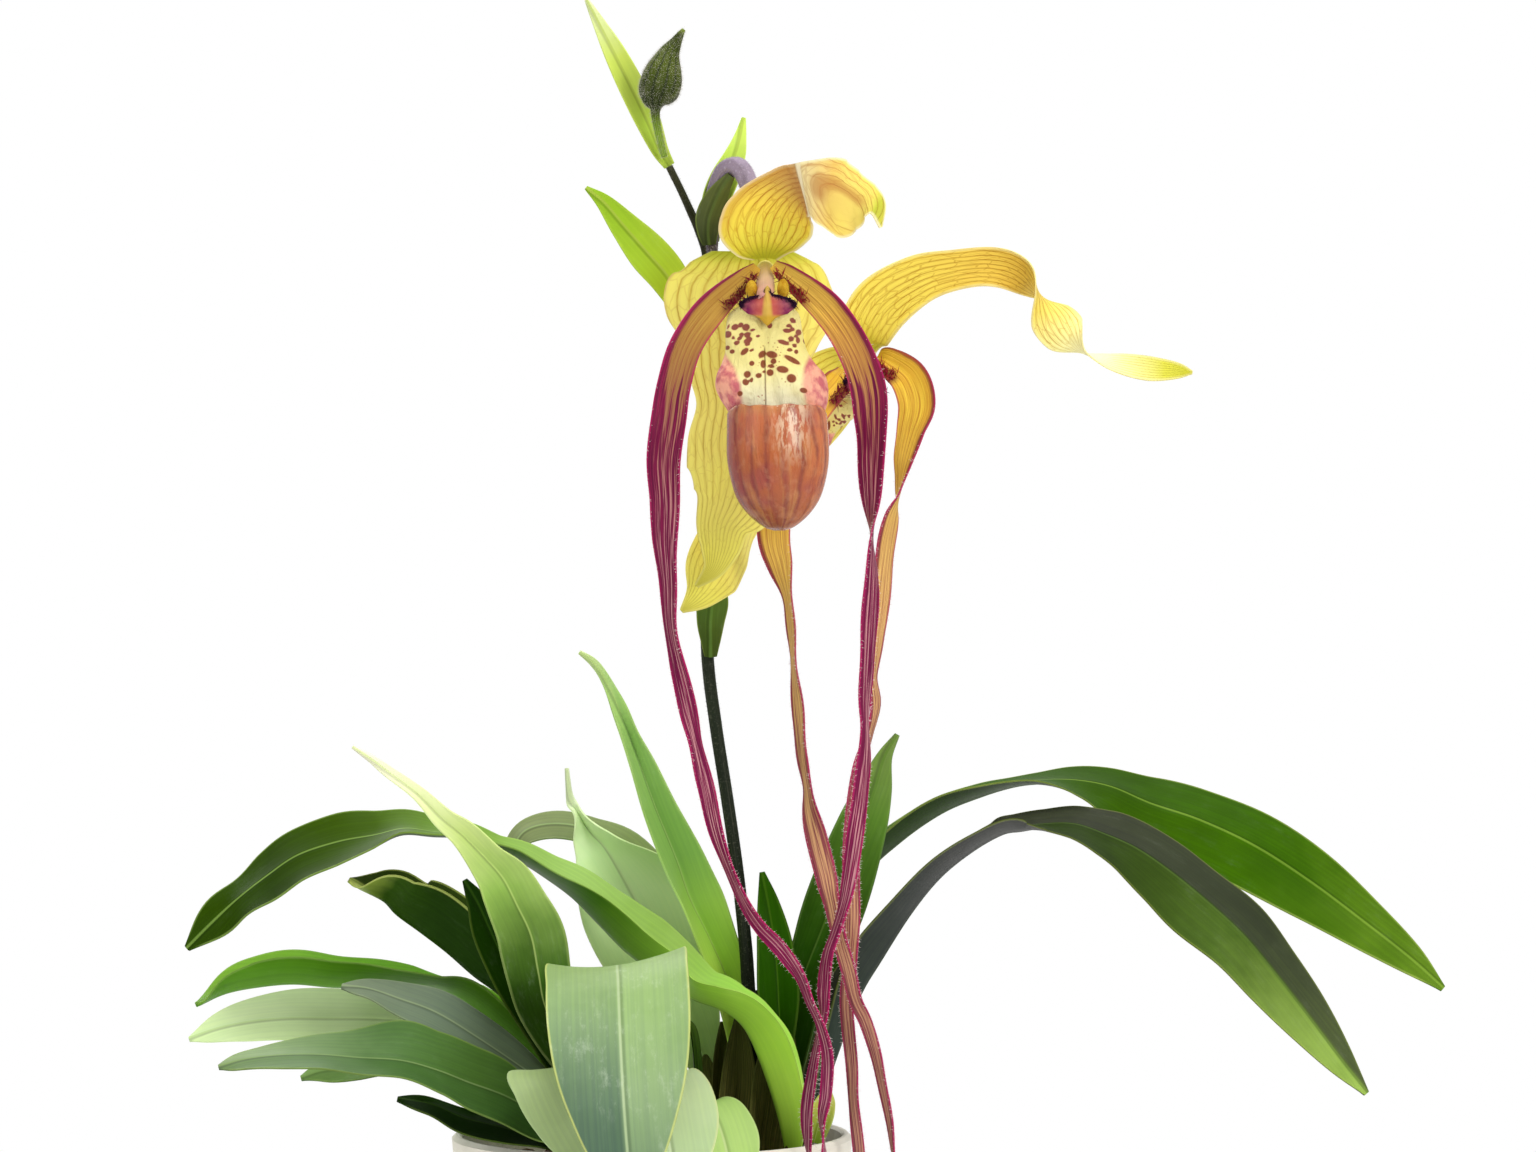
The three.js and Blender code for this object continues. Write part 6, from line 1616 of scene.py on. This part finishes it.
def make_mix():
    bark = bark_finish()
    turns = around(72)
    rings = []
    for radius, z in MIX_SIDE + MIX_CROWN:
        wobble = 0.35 * np.sin(turns * 11 + radius) * (z >= MIX_TOP)
        rings.append(np.stack([radius * np.cos(turns), radius * np.sin(turns), z + wobble], 1))
    bed = rings_mesh("mix_bed", rings, bark)
    crown = rings[len(MIX_SIDE) :]
    flat = [ring * [CHIP_REACH, CHIP_REACH, 0] + [0, 0, CHIP_BED] for ring in crown]
    top = rings_mesh("mix_top", flat, bark, closed=False)
    chips = grown(top, chip_tree("bark_chips", bark), "mix_chips", CHIPS)
    bpy.data.objects.remove(top)
    settle(bed, "potting_mix")
    settle(chips)


def make_pot():
    clay = pot_finish()
    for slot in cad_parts["pot"].material_slots:
        slot.link = "OBJECT"
        slot.material = clay


# ---------------------------------------------------------------- studio

FLOOR_RADIUS = 850
SENSOR_WIDTH = 36.0
VIEW_DISTANCE, VIEW_WIDTH = 1500, 460.8
# How far towards the back the white light starts to rise and is full, and both its strengths.
BACK_LIGHT = (0.94, 0.978, 0.6, 1.0)
# Each lamp's place and the point it is aimed at, in metres, its two sides and its power.
LAMPS = {
    "key_light": ((0.66, -1.0, 0.62), (0.03, 0, 0.28), (0.45, 0.7), 6.5),
    "fill_light": ((-1.1, -0.8, 0.6), (0, 0, 0.22), (0.8, 0.8), 3.0),
    "top_light": ((0.1, 0.1, 1.5), (0, 0, 0.2), (0.9, 0.9), 14.0),
    "rear_light": ((-0.5, 1.1, 0.9), (0, 0, 0.2), (0.8, 0.5), 5.0),
}


def make_floor():
    finish = Paint("floor_finish", 0.9)
    finish.feed(Base_Color=(0.93, 0.93, 0.92, 1))
    turns = around(96)
    rings = [np.stack([r * np.cos(turns), r * np.sin(turns), np.full(96, -depth)], 1)
             for r, depth in ((FLOOR_RADIUS, 6), (FLOOR_RADIUS, 0.2), (1, 0.2))]
    rings_mesh("floor", rings, finish.material)


def make_world():
    """An even white light all round, brightest behind the plant."""
    world = bpy.data.worlds.new("studio")
    bpy.context.scene.world = world
    world.use_nodes = True
    tree = world.node_tree
    sky = tree.nodes["Background"]
    where = tree.nodes.new("ShaderNodeTexCoord")
    parts = tree.nodes.new("ShaderNodeSeparateXYZ")
    tree.links.new(where.outputs["Generated"], parts.inputs[0])
    rise = tree.nodes.new("ShaderNodeMapRange")
    rise.interpolation_type = "SMOOTHSTEP"
    for socket, value in zip(rise.inputs[1:5], BACK_LIGHT):
        socket.default_value = value
    tree.links.new(parts.outputs["Y"], rise.inputs[0])
    tree.links.new(rise.outputs[0], sky.inputs["Strength"])
    sky.inputs["Color"].default_value = (1, 1, 1, 1)


def make_lamps():
    for name, (place, aim, sides, power) in LAMPS.items():
        light = bpy.data.lights.new(name, "AREA")
        light.shape = "RECTANGLE"
        light.size, light.size_y = sides
        light.energy = power
        lamp = shown(name, light)
        lamp.location = place
        lamp.rotation_euler = (Vector(aim) - Vector(place)).to_track_quat("-Z", "Y").to_euler()


def make_camera():
    camera = bpy.data.cameras.new("camera")
    camera.sensor_width = SENSOR_WIDTH
    camera.lens = SENSOR_WIDTH * VIEW_DISTANCE / VIEW_WIDTH
    camera.clip_start, camera.clip_end = 0.05, 50.0
    eye = shown("camera", camera)
    eye.location = (0.0348, -VIEW_DISTANCE * MM, 0.277)
    eye.rotation_euler = (math.radians(90), 0, 0)
    bpy.context.scene.camera = eye
    bpy.context.scene.view_settings.view_transform = "Standard"


make_floor()
make_world()
make_lamps()
make_camera()
make_pot()
make_mix()
make_growths()
make_leaves()
make_bracts()
make_stem()
make_bud()
make_ovaries()
make_sepals()
make_petals()
make_lips()
make_columns()
